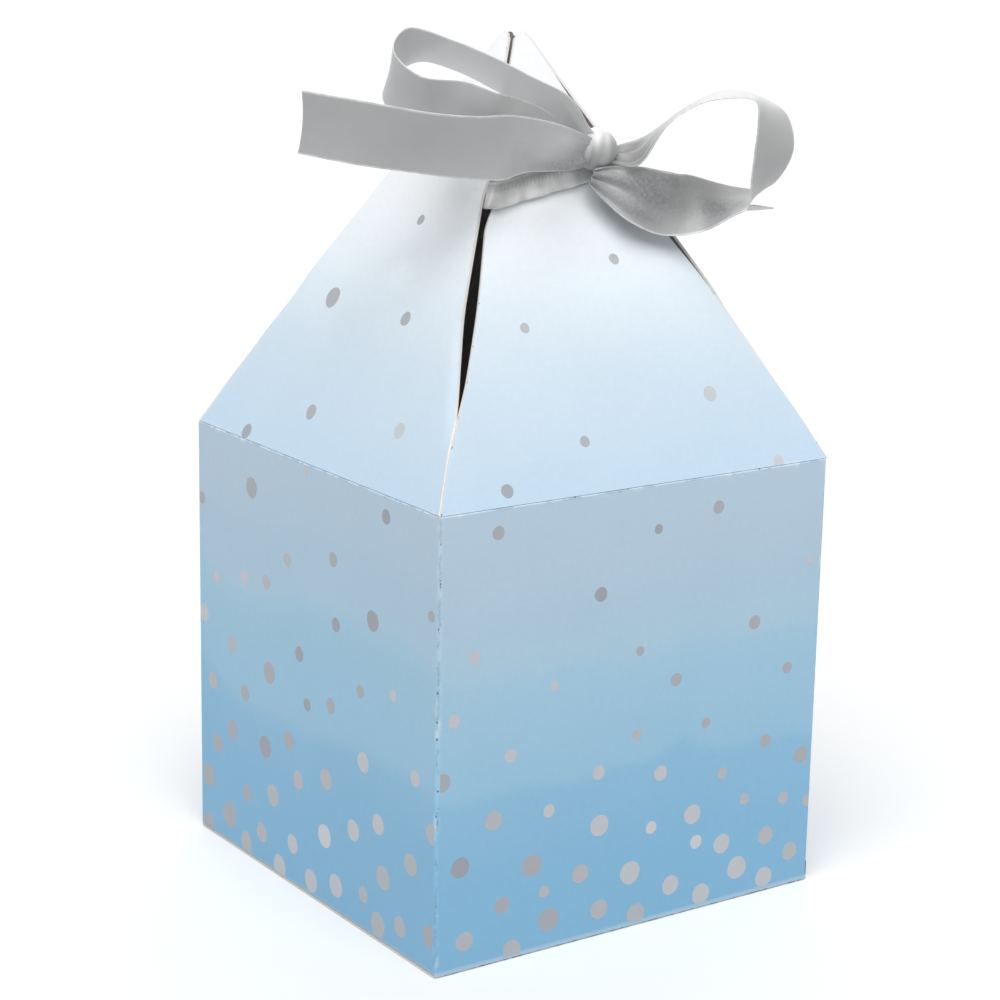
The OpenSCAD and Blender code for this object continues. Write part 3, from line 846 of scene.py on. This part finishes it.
tongue_start = (FOLD_CLEAR + HALF_T * tuck_k) / tuck_c
quarter = np.sin(np.radians(np.linspace(0, 90, 14)))
tongue_rows = np.concatenate([np.linspace(tongue_start, TUCK_H - TONGUE_CORNER, 16)[:-1],
                              TUCK_H - TONGUE_CORNER + TONGUE_CORNER * quarter])
tongue = build_panel("tongue_board", tongue_rows, tongue_half,
                     lambda x, s: np.stack([x, TUCK_Y - s * tuck_k, HALF_T + s * tuck_c], -1),
                     (0, tuck_c, tuck_k))
closure.append((tongue, "tongue", "tuck_tongue"))

# %% Dust flaps
DUST_LEN, DUST_HALF = 24.0, MID_W - 1.8

for side in ("left", "right"):
    dust = build_panel(side + "_dust_board", fine_ends(FOLD_CLEAR, DUST_LEN, 22), lambda s: DUST_HALF - s,
                       lambda x, s: turned(lying(x, s, DUST_FOLD + HALF_T), side))
    closure.append((dust, side + "_dust", side + "_dust_flap"))
for piece, body, node in closure:
    stand_in(piece, body, node)

# %% [markdown]
# ## The silver dots
#
# The confetti is sparse and small at the top and dense and large near the table. Each
# dot is a round of ink a hundredth of a millimetre thick that lies on the board and is
# cut off straight at a crease, as print is. On the front and the left side the dots
# are listed one by one. On the other sides a seeded rule places them: many tries, and each
# time the one that is farthest from its neighbours wins.

# %% Places of the dots: across, height, radius, tone from 0 to 4
FRONT_DOTS = [
    (-27.5, 70, 1.1, 1), (3, 66.5, 0.8, 0), (15, 68.5, 1.1, 1), (35, 57, 0.8, 3), (-8, 57.5, 1.2, 0),
    (23.5, 48, 1.2, 1), (0, 47, 0.8, 1), (-31.5, 51, 1.1, 3), (31, 39, 1, 1), (-16.5, 44, 0.8, 3),
    (7.5, 41, 1.1, 1), (-35, 41.5, 1.1, 3), (14, 32.5, 0.9, 1), (0, 33, 1, 2), (27, 27, 1.1, 1),
    (35, 23, 1.5, 1), (-24.5, 34, 1.1, 3), (-7.5, 28, 1.2, 3), (5, 25.5, 1.3, 3), (18, 23, 1, 2),
    (-37, 32, 1.5, 1), (23, 17.5, 1, 2), (31.5, 16, 1.1, 2), (37, 14.5, 1.1, 2), (-17, 23.5, 1.1, 3),
    (-27.5, 24, 1.6, 2), (-7, 19, 1.8, 3), (3.5, 16.5, 1.1, 4), (12, 17, 1.7, 3), (13, 12, 1.2, 4),
    (18.5, 10.5, 1.7, 3), (28, 10, 1.6, 2), (33.5, 6, 1.6, 2), (-33.5, 17.5, 1.7, 0), (-20, 15, 1.9, 1),
    (-10.5, 11.5, 1.6, 2), (-0.5, 9.5, 2, 3), (8, 5.5, 1.7, 3), (14.5, 2.5, 1.8, 3), (22, 5.5, 2, 3),
    (28, 2.5, 1.8, 3), (-17.5, 10, 1, 2), (-25.5, 9.5, 1.4, 1), (-16.5, 5, 2, 1), (-6.5, 4.5, 1.7, 2),
    (1, 2, 1.8, 2), (-32.5, 5, 1.6, 2), (-23.5, 1.5, 1.7, 2)]
LEFT_DOTS = [
    (-19, 66, 1.8, 1), (-36.5, 60.5, 1.1, 1), (-1, 72.8, 0.8, 3), (23, 70.5, 1.2, 0), (-7, 56.5, 1.2, 2),
    (7.5, 60, 1.2, 1), (-31.5, 47.5, 1.1, 3), (-21.5, 50, 1.2, 3), (-14, 51, 1.2, 2), (-36, 40, 1.6, 3),
    (8.5, 49.5, 1.2, 0), (19.5, 53, 1.7, 0), (36, 58, 0.9, 1), (-26, 37, 1.5, 2), (-3, 41.5, 1.3, 0),
    (-13, 35.5, 1.9, 1), (-33, 28.5, 1.6, 2), (-21.5, 29.5, 1.4, 1), (-0.5, 33.5, 1.1, 0), (7, 35.5, 1.3, 1),
    (16, 40.5, 1.1, 1), (25.5, 42.5, 1, 3), (-26, 21.5, 1.7, 1), (-31.5, 17.5, 1.7, 1), (-14.5, 22, 1.9, 0),
    (-6.5, 25.5, 1.6, 1), (17, 29, 1.7, 3), (-35, 10.5, 2.1, 1), (-3.5, 19.5, 1.6, 2), (5.5, 22.5, 1.8, 2),
    (32, 31, 1.3, 3), (-21, 11.5, 1.5, 1), (-12, 14, 1.9, 2), (-27.5, 5.5, 2.3, 1), (-35, 1.5, 1.9, 1),
    (-16, 6, 1.7, 2), (-21.5, 2.5, 1.9, 2), (-5.5, 7.5, 1.7, 3), (5, 12.5, 2, 4), (14, 16.5, 1.8, 3),
    (21.5, 20, 1.7, 3), (37, 23.5, 1.7, 2), (-10, 2, 2, 3), (0.5, 3, 2, 3), (8.5, 5, 2, 3),
    (23, 11.5, 2, 2), (31, 16.5, 1.8, 2), (17, 6.5, 1.4, 2), (21.5, 3, 2.1, 2), (28, 5, 1.7, 2),
    (36.5, 6.5, 1.9, 1)]
FRONT_ROOF_DOTS = [(5.7, 37.2, 0.95, 2), (-15, 27.3, 0.85, 2), (17.2, 13.4, 1.25, 3), (-9, 8.5, 0.9, 1),
                   (-25.2, 2.6, 1.1, 0), (27.5, 0.9, 1, 3)]
LEFT_ROOF_DOTS = [(1.5, 43, 0.9, 1), (-13, 27, 1.8, 1), (9.2, 27, 1.2, 1), (-6, 8.2, 1.3, 1),
                  (-22, 1.5, 1.3, 0), (19.3, 10.2, 1.3, 3)]

# %% Seeded scatter for the other sides
TRIES = 60      # places that are tried for each dot

def scatter(seed, count, height, roof=False):
    """Dots by best of many tries. On a wall the heights crowd downwards, as a fair throw
    to the power of 1.7, and the radii shrink with height. The try with the widest gap
    to its neighbours wins, and a gap counts for less higher up, where dots are sparse."""
    rng = np.random.default_rng(seed)
    dots = []
    for _ in range(count):
        tries = rng.random((TRIES, 2))
        up = height * (tries[:, 0] * 0.9 if roof else tries[:, 0] ** 1.7)
        x = (tries[:, 1] * 2 - 1) * (edge_half(up) - 2 if roof else HALF_W - 1.5)
        best = 0
        if dots:
            placed = np.array(dots)
            gap = np.hypot(x[:, None] - placed[:, 0], up[:, None] - placed[:, 1]).min(1)
            best = int((gap / (4.2 + 0.09 * up)).argmax())
        size = (1.2 if roof else 2.0 - 1.0 * up[best] / height) * (0.75 + 0.4 * rng.random())
        dots.append((float(x[best]), float(max(up[best], 1.0)), float(size), float(rng.integers(0, 5))))
    return dots

DOTS = {
    ("front", "wall"): FRONT_DOTS, ("left", "wall"): LEFT_DOTS,
    ("back", "wall"): scatter(5, 49, WALL_H - 2), ("right", "wall"): scatter(9, 48, WALL_H - 2),
    ("front", "roof"): FRONT_ROOF_DOTS, ("left", "roof"): LEFT_ROOF_DOTS,
    ("back", "roof"): scatter(12, 6, 48, True), ("right", "roof"): scatter(21, 6, 48, True)}
print(sum(len(dots) for dots in DOTS.values()), "dots in all")

# %% Rounds of ink
INK_OVER, INK_UNDER = 0.012, 0.02       # how far a dot stands over its board's face and reaches under it
KEEP_IN = 0.05                          # how far it stays within a cut edge
TONES = np.array([0.02, 0.27, 0.5, 0.75, 0.95])

def dot_faces(count, sides):
    """Triangles and quads of so many dots. The points of each are a middle and a ring
    above, then a middle and a ring below: two fans, and a band that joins their rims."""
    each = sides + 1
    ring = np.arange(1, each)
    after, hub = np.roll(ring, -1), np.zeros(sides, dtype=int)
    fan = np.stack([hub, ring, after], -1)
    fan_low = np.stack([hub + each, after + each, ring + each], -1)
    rim = np.stack([ring, ring + each, after + each, after], -1)
    base = (np.arange(count) * 2 * each)[:, None, None]
    triangles = np.concatenate([(fan + base).reshape(-1, 3), (fan_low + base).reshape(-1, 3)])
    return triangles.tolist() + (rim + base).reshape(-1, 4).tolist()

# %% Dots of one panel
def build_dots(side, part, dots, sides=22):
    """Each dot is a ring round a middle on the board's outer face. Its outline is a circle
    with three slight lobes, clamped to the panel, and its foot is under the surface."""
    d = np.array(dots, float)
    angle = np.linspace(0, 2 * np.pi, sides, endpoint=False)
    wobble = 1 + 0.02 * np.sin(3 * angle[None, :] + d[:, :1])
    x = d[:, :1] + d[:, 2:3] * wobble * np.cos(angle)
    h = d[:, 1:2] + d[:, 2:3] * wobble * np.sin(angle)
    if part == "wall":
        right_end = HALF_W - SEAM_W - 0.02 if side == "front" else inner
        x, h = np.clip(x, -inner, right_end), np.clip(h, 0.6, WALL_H - 0.02)
    else:
        h = np.maximum(h, FOLD_START + 0.03)
        x = np.clip(x, -cut_half(h, 0, 0) + KEEP_IN, cut_half(h, 0, 0) - KEEP_IN)
    x = np.concatenate([x.mean(1, keepdims=True), x], 1)
    h = np.concatenate([h.mean(1, keepdims=True), h], 1)
    if part == "wall":
        mid, normal = (turned(vectors, side) for vectors in wall_mid(x, h))
    else:
        mid, normal = flap_mid(side, x, h)
    top, low = mid + normal * (HALF_T + INK_OVER), mid + normal * (HALF_T - INK_UNDER)
    points = np.concatenate([top, low], 1).reshape(-1, 3)
    faces = dot_faces(len(d), sides)
    a, b, c = points[faces[0]]
    if np.dot(np.cross(b - a, c - a), normal[0, 0]) < 0:
        faces = [face[::-1] for face in faces]
    mesh = bpy.data.meshes.new(f"{side}_{part}_dots")
    mesh.from_pydata((points * MM).tolist(), [], faces)
    mesh.materials.append(silver)
    tone = np.repeat(TONES[d[:, 3].astype(int)], 2 * (sides + 1))
    mesh.attributes.new("tone", "FLOAT", "POINT").data.foreach_set("value", tone)
    return make_object(mesh.name, mesh)

# %% Dots of all panels
for (side, part), dots in DOTS.items():
    piece = build_dots(side, part, dots)
    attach(piece, "carton" if part == "wall" else side + "_roof")
    print(piece.name, len(dots), "dots")

# %% [markdown]
# ## Ribbon as a swept sheet
#
# A stretch of ribbon is given by a few points along its middle and, at each, an arrow
# from the middle to one edge. A Catmull-Rom curve goes through both lists. The sheet is
# the middle plus the arrow times a number across it from -1 to 1, plus a slight cupping.
# Near the knot the ribbon is drawn together, so small pleats rise there and die away
# along it.

# %% Curves and places at the neck
def smooth(points, steps):
    """Catmull-Rom curve through the points, with so many steps between two of them."""
    p = np.array(points, float)
    start = np.arange(len(p) - 1)
    places = (np.maximum(start - 1, 0), start, start + 1, np.minimum(start + 2, len(p) - 1))
    a, b, c, d = (p[place][:, None, :] for place in places)
    t = (np.arange(steps) / steps)[None, :, None]
    curve = (2 * b + (c - a) * t + (2 * a - 5 * b + 4 * c - d) * t ** 2
             + (3 * b - 3 * c + d - a) * t ** 3) / 2
    return np.concatenate([curve.reshape(-1, p.shape[1]), p[-1:]])

def distance_along(curve):
    """Distance of each point of a curve from its start, along the curve."""
    return np.concatenate([[0], np.cumsum(np.linalg.norm(np.diff(curve, axis=0), axis=1))])

def on_neck(points):
    """Points in the front flap's own frame at the neck (right, in, up the flap) as
    points of the box."""
    return leaned(points) + [0.0, -NECK_OFF, WALL_H + NECK_H]

# %% Satin pieces
def make_satin(name, mid, face, thick, flat_xy, wrap, sharp, **values):
    """A closed sheet of satin. Its points carry painted shade in crumples and folds, painted
    highlight and other painted shade, and how many millimetres away its root in the knot is (root_mm)."""
    points, faces, _ = closed_sheet(mid, face, thick, wrap)
    return make_piece(name, points, faces, [satin], np.zeros(len(faces)), flat_xy, values, sharp)

def lay_ribbon(piece, node, length):
    """The piece stands for a node of the ribbon; its length is printed."""
    stand_in(piece, "ribbon", node)
    print(piece.name, "is", round(length, 1), "mm long")

# %% Pleats, spots and ends of a strip
def pleat_waves(way, across, pleats):
    """Height of the pleats and the shade in them. Both are cosine waves across the ribbon
    that sway along it; the height has finer waves over them."""
    sway = 0.5 * np.sin(way / 3.1)[:, None]
    waves = np.cos(np.pi * pleats * across + 0.6 + sway) + 0.35 * np.cos(np.pi * 5.3 * across + 2 * sway)
    return waves, 1.2 + np.cos(np.pi * pleats * across + 3.6 + sway)

def bells(rows, way, across):
    """Sum of spots, each (along, across, length, width, strength) and a bell both ways."""
    total = np.zeros(across.shape)
    for along, side_at, long, wide, strong in rows:
        total += strong * np.exp(-((way[:, None] - along) / long) ** 2
                                 - ((across - side_at) / wide) ** 2)
    return total

def into_end(way, last):
    """0 until the last so many millimetres of a ribbon, then evenly up to 1."""
    return np.clip((way - (way[-1] - last)) / last, 0, 1)[:, None]

# %% Strips
STEPS, COLUMNS = 14, 27                 # between two points of the path, and across the ribbon
PLEAT_FADE, SHADE_FADE = 5.5, 7.0       # how far from the knot pleats and their painted shade reach
HOLLOW_LEN = 3                          # how far back from its end a tail is hollowed
SINE_PART = 0.98                        # the columns are spaced by this part of half a wave

def build_strip(name, path, half, roots, cup, cut=0.0, slant=0.0, drawn=0.42, creases=(),
                dulls=(), highlight_spots=(), pleats=2.6):
    """Ribbon sheet along path. roots says at which ends (0 start, 1 stop) it is drawn
    together; the pleats fade with the distance from them. Its columns lie closer towards
    its edges, as a sine does. cut hollows the far end, and slant cuts it off towards one
    edge over so many mm. creases are crumpled spots that sink in and get painted shade,
    and the two lists of spots after them are painted shade and painted highlight."""
    q, h = smooth(path, STEPS), smooth(half, STEPS)
    way = distance_along(q)
    length = way[-1]
    tangent = unit(np.gradient(q, axis=0))
    normal = unit(np.cross(tangent, h))
    far = length * 9        # an end that is free of the knot
    from_root = np.minimum(way if 0 in roots else far, (length - way) if 1 in roots else far)
    columns = np.sin(np.linspace(-np.pi / 2, np.pi / 2, COLUMNS) * SINE_PART)
    across = columns[None, :] / math.sin(np.pi / 2 * SINE_PART) + 0 * way[:, None]
    if slant:
        across = across + (1 - across) * 0.96 * into_end(way, slant)
    waves, shadow = pleat_waves(way, across, pleats)
    spots = bells(creases, way, across)
    rise = drawn * np.exp(-(from_root / PLEAT_FADE) ** 1.4)
    ripple = 0.05 * np.sin(way / 4.3 + 1)[:, None] * np.cos(2.2 * across)
    narrow = np.linalg.norm(h, axis=1) / (RIBBON_W / 2)
    off = waves * rise[:, None] + ripple + cup * (narrow ** 2)[:, None] * (1 - across ** 2)
    off = off - 0.35 * spots
    mid = q[:, None, :] + h[:, None, :] * across[..., None] + normal[:, None, :] * off[..., None]
    if cut:
        hollow = cut * into_end(way, HOLLOW_LEN) * (1 - across ** 2)
        mid = mid - tangent[:, None, :] * hollow[..., None]
    face = unit(np.cross(np.gradient(mid, axis=0), np.gradient(mid, axis=1)))
    thick = 0.11 - 0.03 * np.abs(across) ** 8
    flat_xy = np.stack([np.broadcast_to(way[:, None], off.shape), across * RIBBON_W / 2], -1)
    # painted shade in the pleats near the knot and in the creases; the spot lists add painted highlight and
    # more painted shade
    crush = drawn * np.exp(-(from_root / SHADE_FADE) ** 2)[:, None] * shadow + spots
    strip = make_satin(name, on_neck(mid), leaned(face), thick, flat_xy, False, 50,
                       crush=np.clip(crush, 0, 1), gleam=bells(highlight_spots, way, across),
                       dull=bells(dulls, way, across), root_mm=np.clip(from_root, 0, 20)[:, None])
    return strip, length

# %% [markdown]
# ## Tails and loops
#
# The points below follow those of the solids. They were set so that the bow
# looks right from the front left, and so that each stretch keeps a ribbon's width and
# stays clear of the board. The first point of each list lies in the mouth of the knot.
# path is the ribbon's middle, and half is the arrow from it to one edge.

# %% Points along the ribbon
# In each strip, creases sink in and carry painted shade; the other two spot lists are painted shade, where a
# strand faces away from the light, and painted highlight.
STRIPS = {
    "left_tail": dict(
        path=[[3.2, -6, 1.9], [1.5, -6.5, 1.5], [-8.5, -9.5, 1.5], [-17, -13, 0.5], [-26, -15.5, 0],
              [-34.5, -16, 1], [-43, -14.5, 3.5], [-50, -10, 7.5]],
        half=[[0.6, -0.7, 1.4], [0.8, -1.6, 2.0], [1.5, -3.5, 2.5], [0.5, -3, 4], [0.5, -3.5, 3.5],
              [0.5, -4, 3], [0, -3.5, 3.5], [-0.5, -3.5, 3.5]],
        roots=(0,), cup=0.25, cut=0.35, drawn=0.22, pleats=1.7,
        creases=((6, -0.85, 7, 0.4, 0.9), (3.5, -0.3, 2.2, 0.7, 0.6)), dulls=((54, 0, 15, 9, 0.3),),
        highlight_spots=((12, 0.2, 9, 1.0, 0.35), (7, 0.6, 4, 0.5, 0.4))),
    "left_loop": dict(
        path=[[3.6, -5, 4], [2.1, -5, 5], [-2.7, -7.5, 9.3], [-9.5, -8, 13], [-15.5, -8.5, 16],
              [-22, -8.5, 18.5], [-28.5, -8.5, 18.5], [-32.5, -9.5, 14.5], [-31.5, -12.5, 9],
              [-26.5, -14.5, 6], [-20, -13, 4.5], [-13.5, -10, 4.5], [-6.5, -7, 4.5],
              [1.5, -5.5, 3.5], [3.2, -5.2, 3]],
        half=[[0.5, -2.2, 0.4], [0.5, -3.2, 0.3], [0.5, -4.2, -0.5], [0, -5, -1], [0, -5, -1],
              [0, -5, -0.5], [-0.5, -4.5, 2], [-1, -4.5, 2], [-0.5, -4.5, 2], [1, -3.5, 3.5],
              [1.5, -2.5, 4], [1, -2, 4.5], [1, -2, 3.5], [0.5, -0.5, 1], [0.5, -0.5, 1]],
        roots=(0, 1), cup=-0.2, drawn=0.22, pleats=1.7,
        highlight_spots=((14, 0, 14, 9, 0.45), (60, 0, 25, 9, 0.25))),
    "right_loop": dict(
        path=[[6.2, -4.8, 1.2], [8.2, -5.2, 1.2], [11.5, -7.5, 0.6], [14.5, -11, 3], [18.5, -14, 5],
              [22.5, -17.5, 5.5], [27, -20, 4], [29, -20.5, 0], [29.5, -18.5, -4.5], [29, -15, -8],
              [28.3, -12, -10], [25.5, -9.5, -9.5], [21, -6.5, -8.5], [15.5, -6, -8], [10, -6, -6],
              [6, -5, -3.5], [3.5, -4.5, -2]],
        half=[[0.5, 0.2, 1.0], [0.8, 0.3, 1.7], [1.8, 1.8, 2.8], [2.5, 4, 1.5], [2.5, 4, 1.5],
              [3, 3.5, 2], [3, 3.5, 2], [4.5, 1.5, 1.5], [5, 1, 0.5], [4.5, 2, 0.5],
              [3.6, 2.4, 2.2], [2.5, 2.5, 3.5], [1, 0.5, 5], [1, -2, 4.5], [1.5, -1.5, 4],
              [1, -1, 2.5], [0.5, -0.5, 1]],
        roots=(0, 1), cup=0.2, drawn=0.36,
        creases=((50, -0.3, 5, 0.55, 0.9), (64, 0.1, 4.5, 0.35, 0.9), (56, -0.1, 15, 1.2, 0.3),
                 (66, -0.6, 4, 0.25, 0.7), (69, 0.45, 4, 0.3, 0.9), (62, 0.75, 6, 0.3, 0.7)),
        dulls=((36, 0, 8, 9, 0.15), (7, 0, 8, 9, 0.85), (56, -0.1, 14, 1.4, 0.35))),
    "right_tail": dict(
        path=[[6.6, -3.4, 1.4], [8, -3, 0.5], [13.5, -3, -3.5], [20.5, -3.5, -6], [27, -4.5, -8],
              [33.5, -5.5, -9.5], [40, -6.5, -10]],
        half=[[0.5, 0, 1.2], [0.5, 0, 1.5], [1.5, 0.5, 3], [1.5, 1.5, 4.5], [1, 4, 3],
              [0.5, 4.6, 1.4], [0.5, 4.6, 1.2]],
        roots=(0,), cup=0.2, slant=12.0),
}
for node, facts in STRIPS.items():
    strip, length = build_strip(node + "_satin", **facts)
    lay_ribbon(strip, node, length)

# %% [markdown]
# ## The band round the neck
#
# The ribbon goes once round the neck, gathered from 10 mm to 4 mm. A gathered ribbon
# folds over itself, so its section here is a flat S of three layers. The section is
# carried round a rounded rectangle that climbs a little to the right. A row of small
# stitches runs along the ribbon, made as a ridge whose height beats every 0.8 mm.

# %% Way of the band round the neck
SIDE_STEPS, CORNER_STEPS, BAND_CORNER = 150, 14, 0.6

def half_x(z):
    """Half width of the band's inner face at height z, inside the side flaps."""
    return flap_off(z, STAND_OUT) - HALF_T / math.cos(LEAN) - SLIDE_GAP - BAND_T

def half_y(z):
    """Half depth of the band's inner face at height z, outside the front and back flaps."""
    return flap_off(z, -PINCH) + HALF_T / math.cos(LEAN) + SLIDE_GAP

def band_points(lift, depth):
    """Points of the band for a section's arrays of lift (up) and depth (out): quarter
    circles at the four corners, and even steps from each corner to the next."""
    corner = np.repeat(np.arange(4), CORNER_STEPS + SIDE_STEPS)
    inside = np.tile(np.arange(CORNER_STEPS + SIDE_STEPS), 4)
    angle = np.radians(90 * corner + 90 * np.minimum(inside, CORNER_STEPS) / CORNER_STEPS)[:, None]
    share = np.clip((inside - CORNER_STEPS) / SIDE_STEPS, 0, 1)
    to_x, to_y = np.array([1, -1, -1, 1.0]), np.array([1, 1, -1, -1.0])
    level_z, r = NECK_H + lift[None, :], BAND_CORNER + depth[None, :]

    def at(number):
        sx, sy = to_x[number][:, None], to_y[number][:, None]
        z = level_z + BAND_TILT * (sx * half_x(level_z))
        return np.stack([sx * (half_x(z) - BAND_CORNER) + r * np.cos(angle),
                         sy * (half_y(z) - BAND_CORNER) + r * np.sin(angle), WALL_H + z], -1)

    here, following = at(corner), at((corner + 1) % 4)
    return here + (following - here) * share[:, None, None]

# %% Section of the band
section = smooth([
    [-1.55, 0.14], [-0.6, 0.16], [0.7, 0.16], [1.5, 0.2], [1.78, 0.34], [1.45, 0.46], [0.5, 0.44],
    [-0.6, 0.44], [-1.5, 0.46], [-1.82, 0.62], [-1.5, 0.78], [-0.7, 0.86], [0.2, 0.88], [1.0, 0.84],
    [1.6, 0.72]], 3)
way = distance_along(section)
mid = band_points(section[:, 0], section[:, 1])
ring = np.linalg.norm(np.diff(np.concatenate([mid, mid[:1]]), axis=0), axis=-1)
round_way = np.concatenate([[0], np.cumsum(ring.mean(1))])[:-1, None]
band_length = float(ring.mean(1).sum())
print("band is", round(band_length, 1), "mm round, in", len(section), "points across")

# %% Folds, stitches and puckers of the band
STITCH, STITCH_DEEP, STITCH_FROM_EDGE = 0.8, 0.16, 1.1
PUCKER, PUCKER_DEEP = 6.3, 0.10

def ring_faces(mid):
    """Directions across a grid whose last row joins its first: the cross product of its
    steps round and along."""
    step_round = np.roll(mid, -1, axis=0) - np.roll(mid, 1, axis=0)
    return unit(np.cross(step_round, np.gradient(mid, axis=1)))

from_edge = (way - way[-1])[None, :]
beat = np.cos(2 * np.pi * round_way / STITCH)
stitch_row = np.exp(-((from_edge + STITCH_FROM_EDGE) / 0.2) ** 2)
stitch = STITCH_DEEP * stitch_row * (0.3 + 0.7 * beat)
bend = 2 * np.pi * round_way / PUCKER
pucker = PUCKER_DEEP * (np.sin(bend + way * 0.9) + 0.5 * np.sin(2.3 * bend - way * 1.4))
pucker = pucker * np.sin(np.pi * way / way[-1])
face = ring_faces(mid)
outward = face[10, -3] @ (mid[10, -3] * [1, 1, 0])      # one point of the outer layer tells
face = face * (1.0 if outward > 0 else -1.0)
mid = mid + face * (stitch + pucker)[..., None]
flat_xy = np.stack(np.broadcast_arrays(round_way, (way / way[-1] - 0.5) * RIBBON_W), -1)
# painted shade between the stitches, along the upper edge where the tail shades it, and in the pucker
# hollows
crush = 1.7 * stitch_row * (0.5 - 0.5 * beat) + np.exp(-(from_edge / 0.8) ** 2)
crush = crush + np.clip(-pucker * 4, 0, 0.4)
# painted highlight along the lower fold, and a little over the whole band, which lies in shade
gleam = 1.3 * np.exp(-((from_edge + 2.6) / 1.5) ** 4) * (0.75 + 0.25 * np.sin(bend * 1.7 + 2))
band = make_satin("neck_band_satin", mid, face, 0.1, flat_xy, True, 60, crush=np.clip(crush, 0, 1),
                  gleam=0.25 + gleam, dull=0.0, root_mm=6.0)
lay_ribbon(band, "ribbon_band", band_length)

# %% [markdown]
# ## The knot
#
# The knot is one turn of ribbon drawn tight over the crossing. It is a short sleeve
# round an axis that runs from left to right. Its width is gathered from 10 mm to
# about 7 mm, so pleats run round it, slightly on the skew. The radius is a crown that
# drops at both mouths, plus those pleats.

# %% Knot
KNOT_AT, KNOT_R, KNOT_HALF = np.array([5.1, -4.7, 2.6]), 2.9, 3.4

angle = np.linspace(0, 2 * np.pi, 120, endpoint=False)[:, None]
b = np.linspace(-1, 1, 45)[None, :]
skew = 1.9 * np.sin(angle + 0.9)
pleat = 0.30 * np.cos(2 * np.pi * 0.55 * b + skew) + 0.07 * np.cos(2 * np.pi * 1.9 * b - 1.3 * skew)
radius = KNOT_R - 0.30 * b ** 2 - 0.95 * np.abs(b) ** 5 + pleat * (1 - 0.5 * np.abs(b) ** 3)
x = KNOT_HALF * b + 0.6 * np.sin(angle) * (1 - b ** 2)
y, z = radius * np.cos(angle), radius * np.sin(angle) * 1.02
y = np.where(y > 0, y * 0.9, y)
from_axis = np.stack([0 * x, y, z], -1)
mid = KNOT_AT + np.stack([x, y, z], -1)
face = ring_faces(mid)
face = face * (1.0 if (from_axis * face).sum() > 0 else -1.0)
two_steps = np.roll(mid, -1, axis=0) - np.roll(mid, 1, axis=0)
ring_len = float(np.linalg.norm(two_steps, axis=-1).mean(1).sum() / 2)
flat_xy = np.stack(np.broadcast_arrays(angle / (2 * np.pi) * ring_len, b * RIBBON_W / 2), -1)
# painted highlight on the front top of the knot, and painted shade in the pleat hollows
gleam = 1.4 * np.exp(-((angle - 2.4) / 0.9) ** 2) * np.exp(-((b + 0.1 + 0.45 * (angle - 2.4)) / 0.8) ** 2)
knot = make_satin("knot_satin", on_neck(mid), leaned(face), 0.12, flat_xy, True, 60,
                  crush=np.clip(0.05 - pleat * 0.9, 0, 0.4), gleam=gleam, dull=0.0, root_mm=0.0)
lay_ribbon(knot, "bow_knot", ring_len)

# %% [markdown]
# ## The floor
#
# A wide pale sheet under the box catches its shadow. Its colour alone makes the ground
# white; no light is added for it. White paper that large would light the walls from
# below, so for light that has already bounced it is grey, as if the sheet ended near
# the box.

# %% Floor
floor_material, tree, shader = new_material("studio_floor")
coord = tree.nodes.new("ShaderNodeTexCoord")
cloud = noise_node(tree, coord.outputs["Object"], 6.0, 2.0)
paper_white = color_ramp(tree, math_node(tree, "MULTIPLY_ADD", cloud, 0.1, 0.5), [
    (0.0, (0.87, 0.87, 0.87, 1)), (1.0, (0.89, 0.89, 0.89, 1))])
floor_color = mix_color(tree, seen_rays(tree), (0.44, 0.44, 0.44, 1), paper_white)
tree.links.new(floor_color, shader.inputs["Base Color"])
set_sockets(shader, Roughness=0.9, Specular_IOR_Level=0.1)
reach, drop = 3000.0 * MM, -0.02 * MM
corners = [(x * reach, y * reach, drop) for x, y in ((-1, -1), (1, -1), (1, 1), (-1, 1))]
floor_mesh = bpy.data.meshes.new("studio_floor")
floor_mesh.from_pydata(corners, [], [(0, 1, 2, 3)])
floor_mesh.materials.append(floor_material)
floor = make_object("studio_floor", floor_mesh)
print("floor is", round(2 * reach), "m wide")
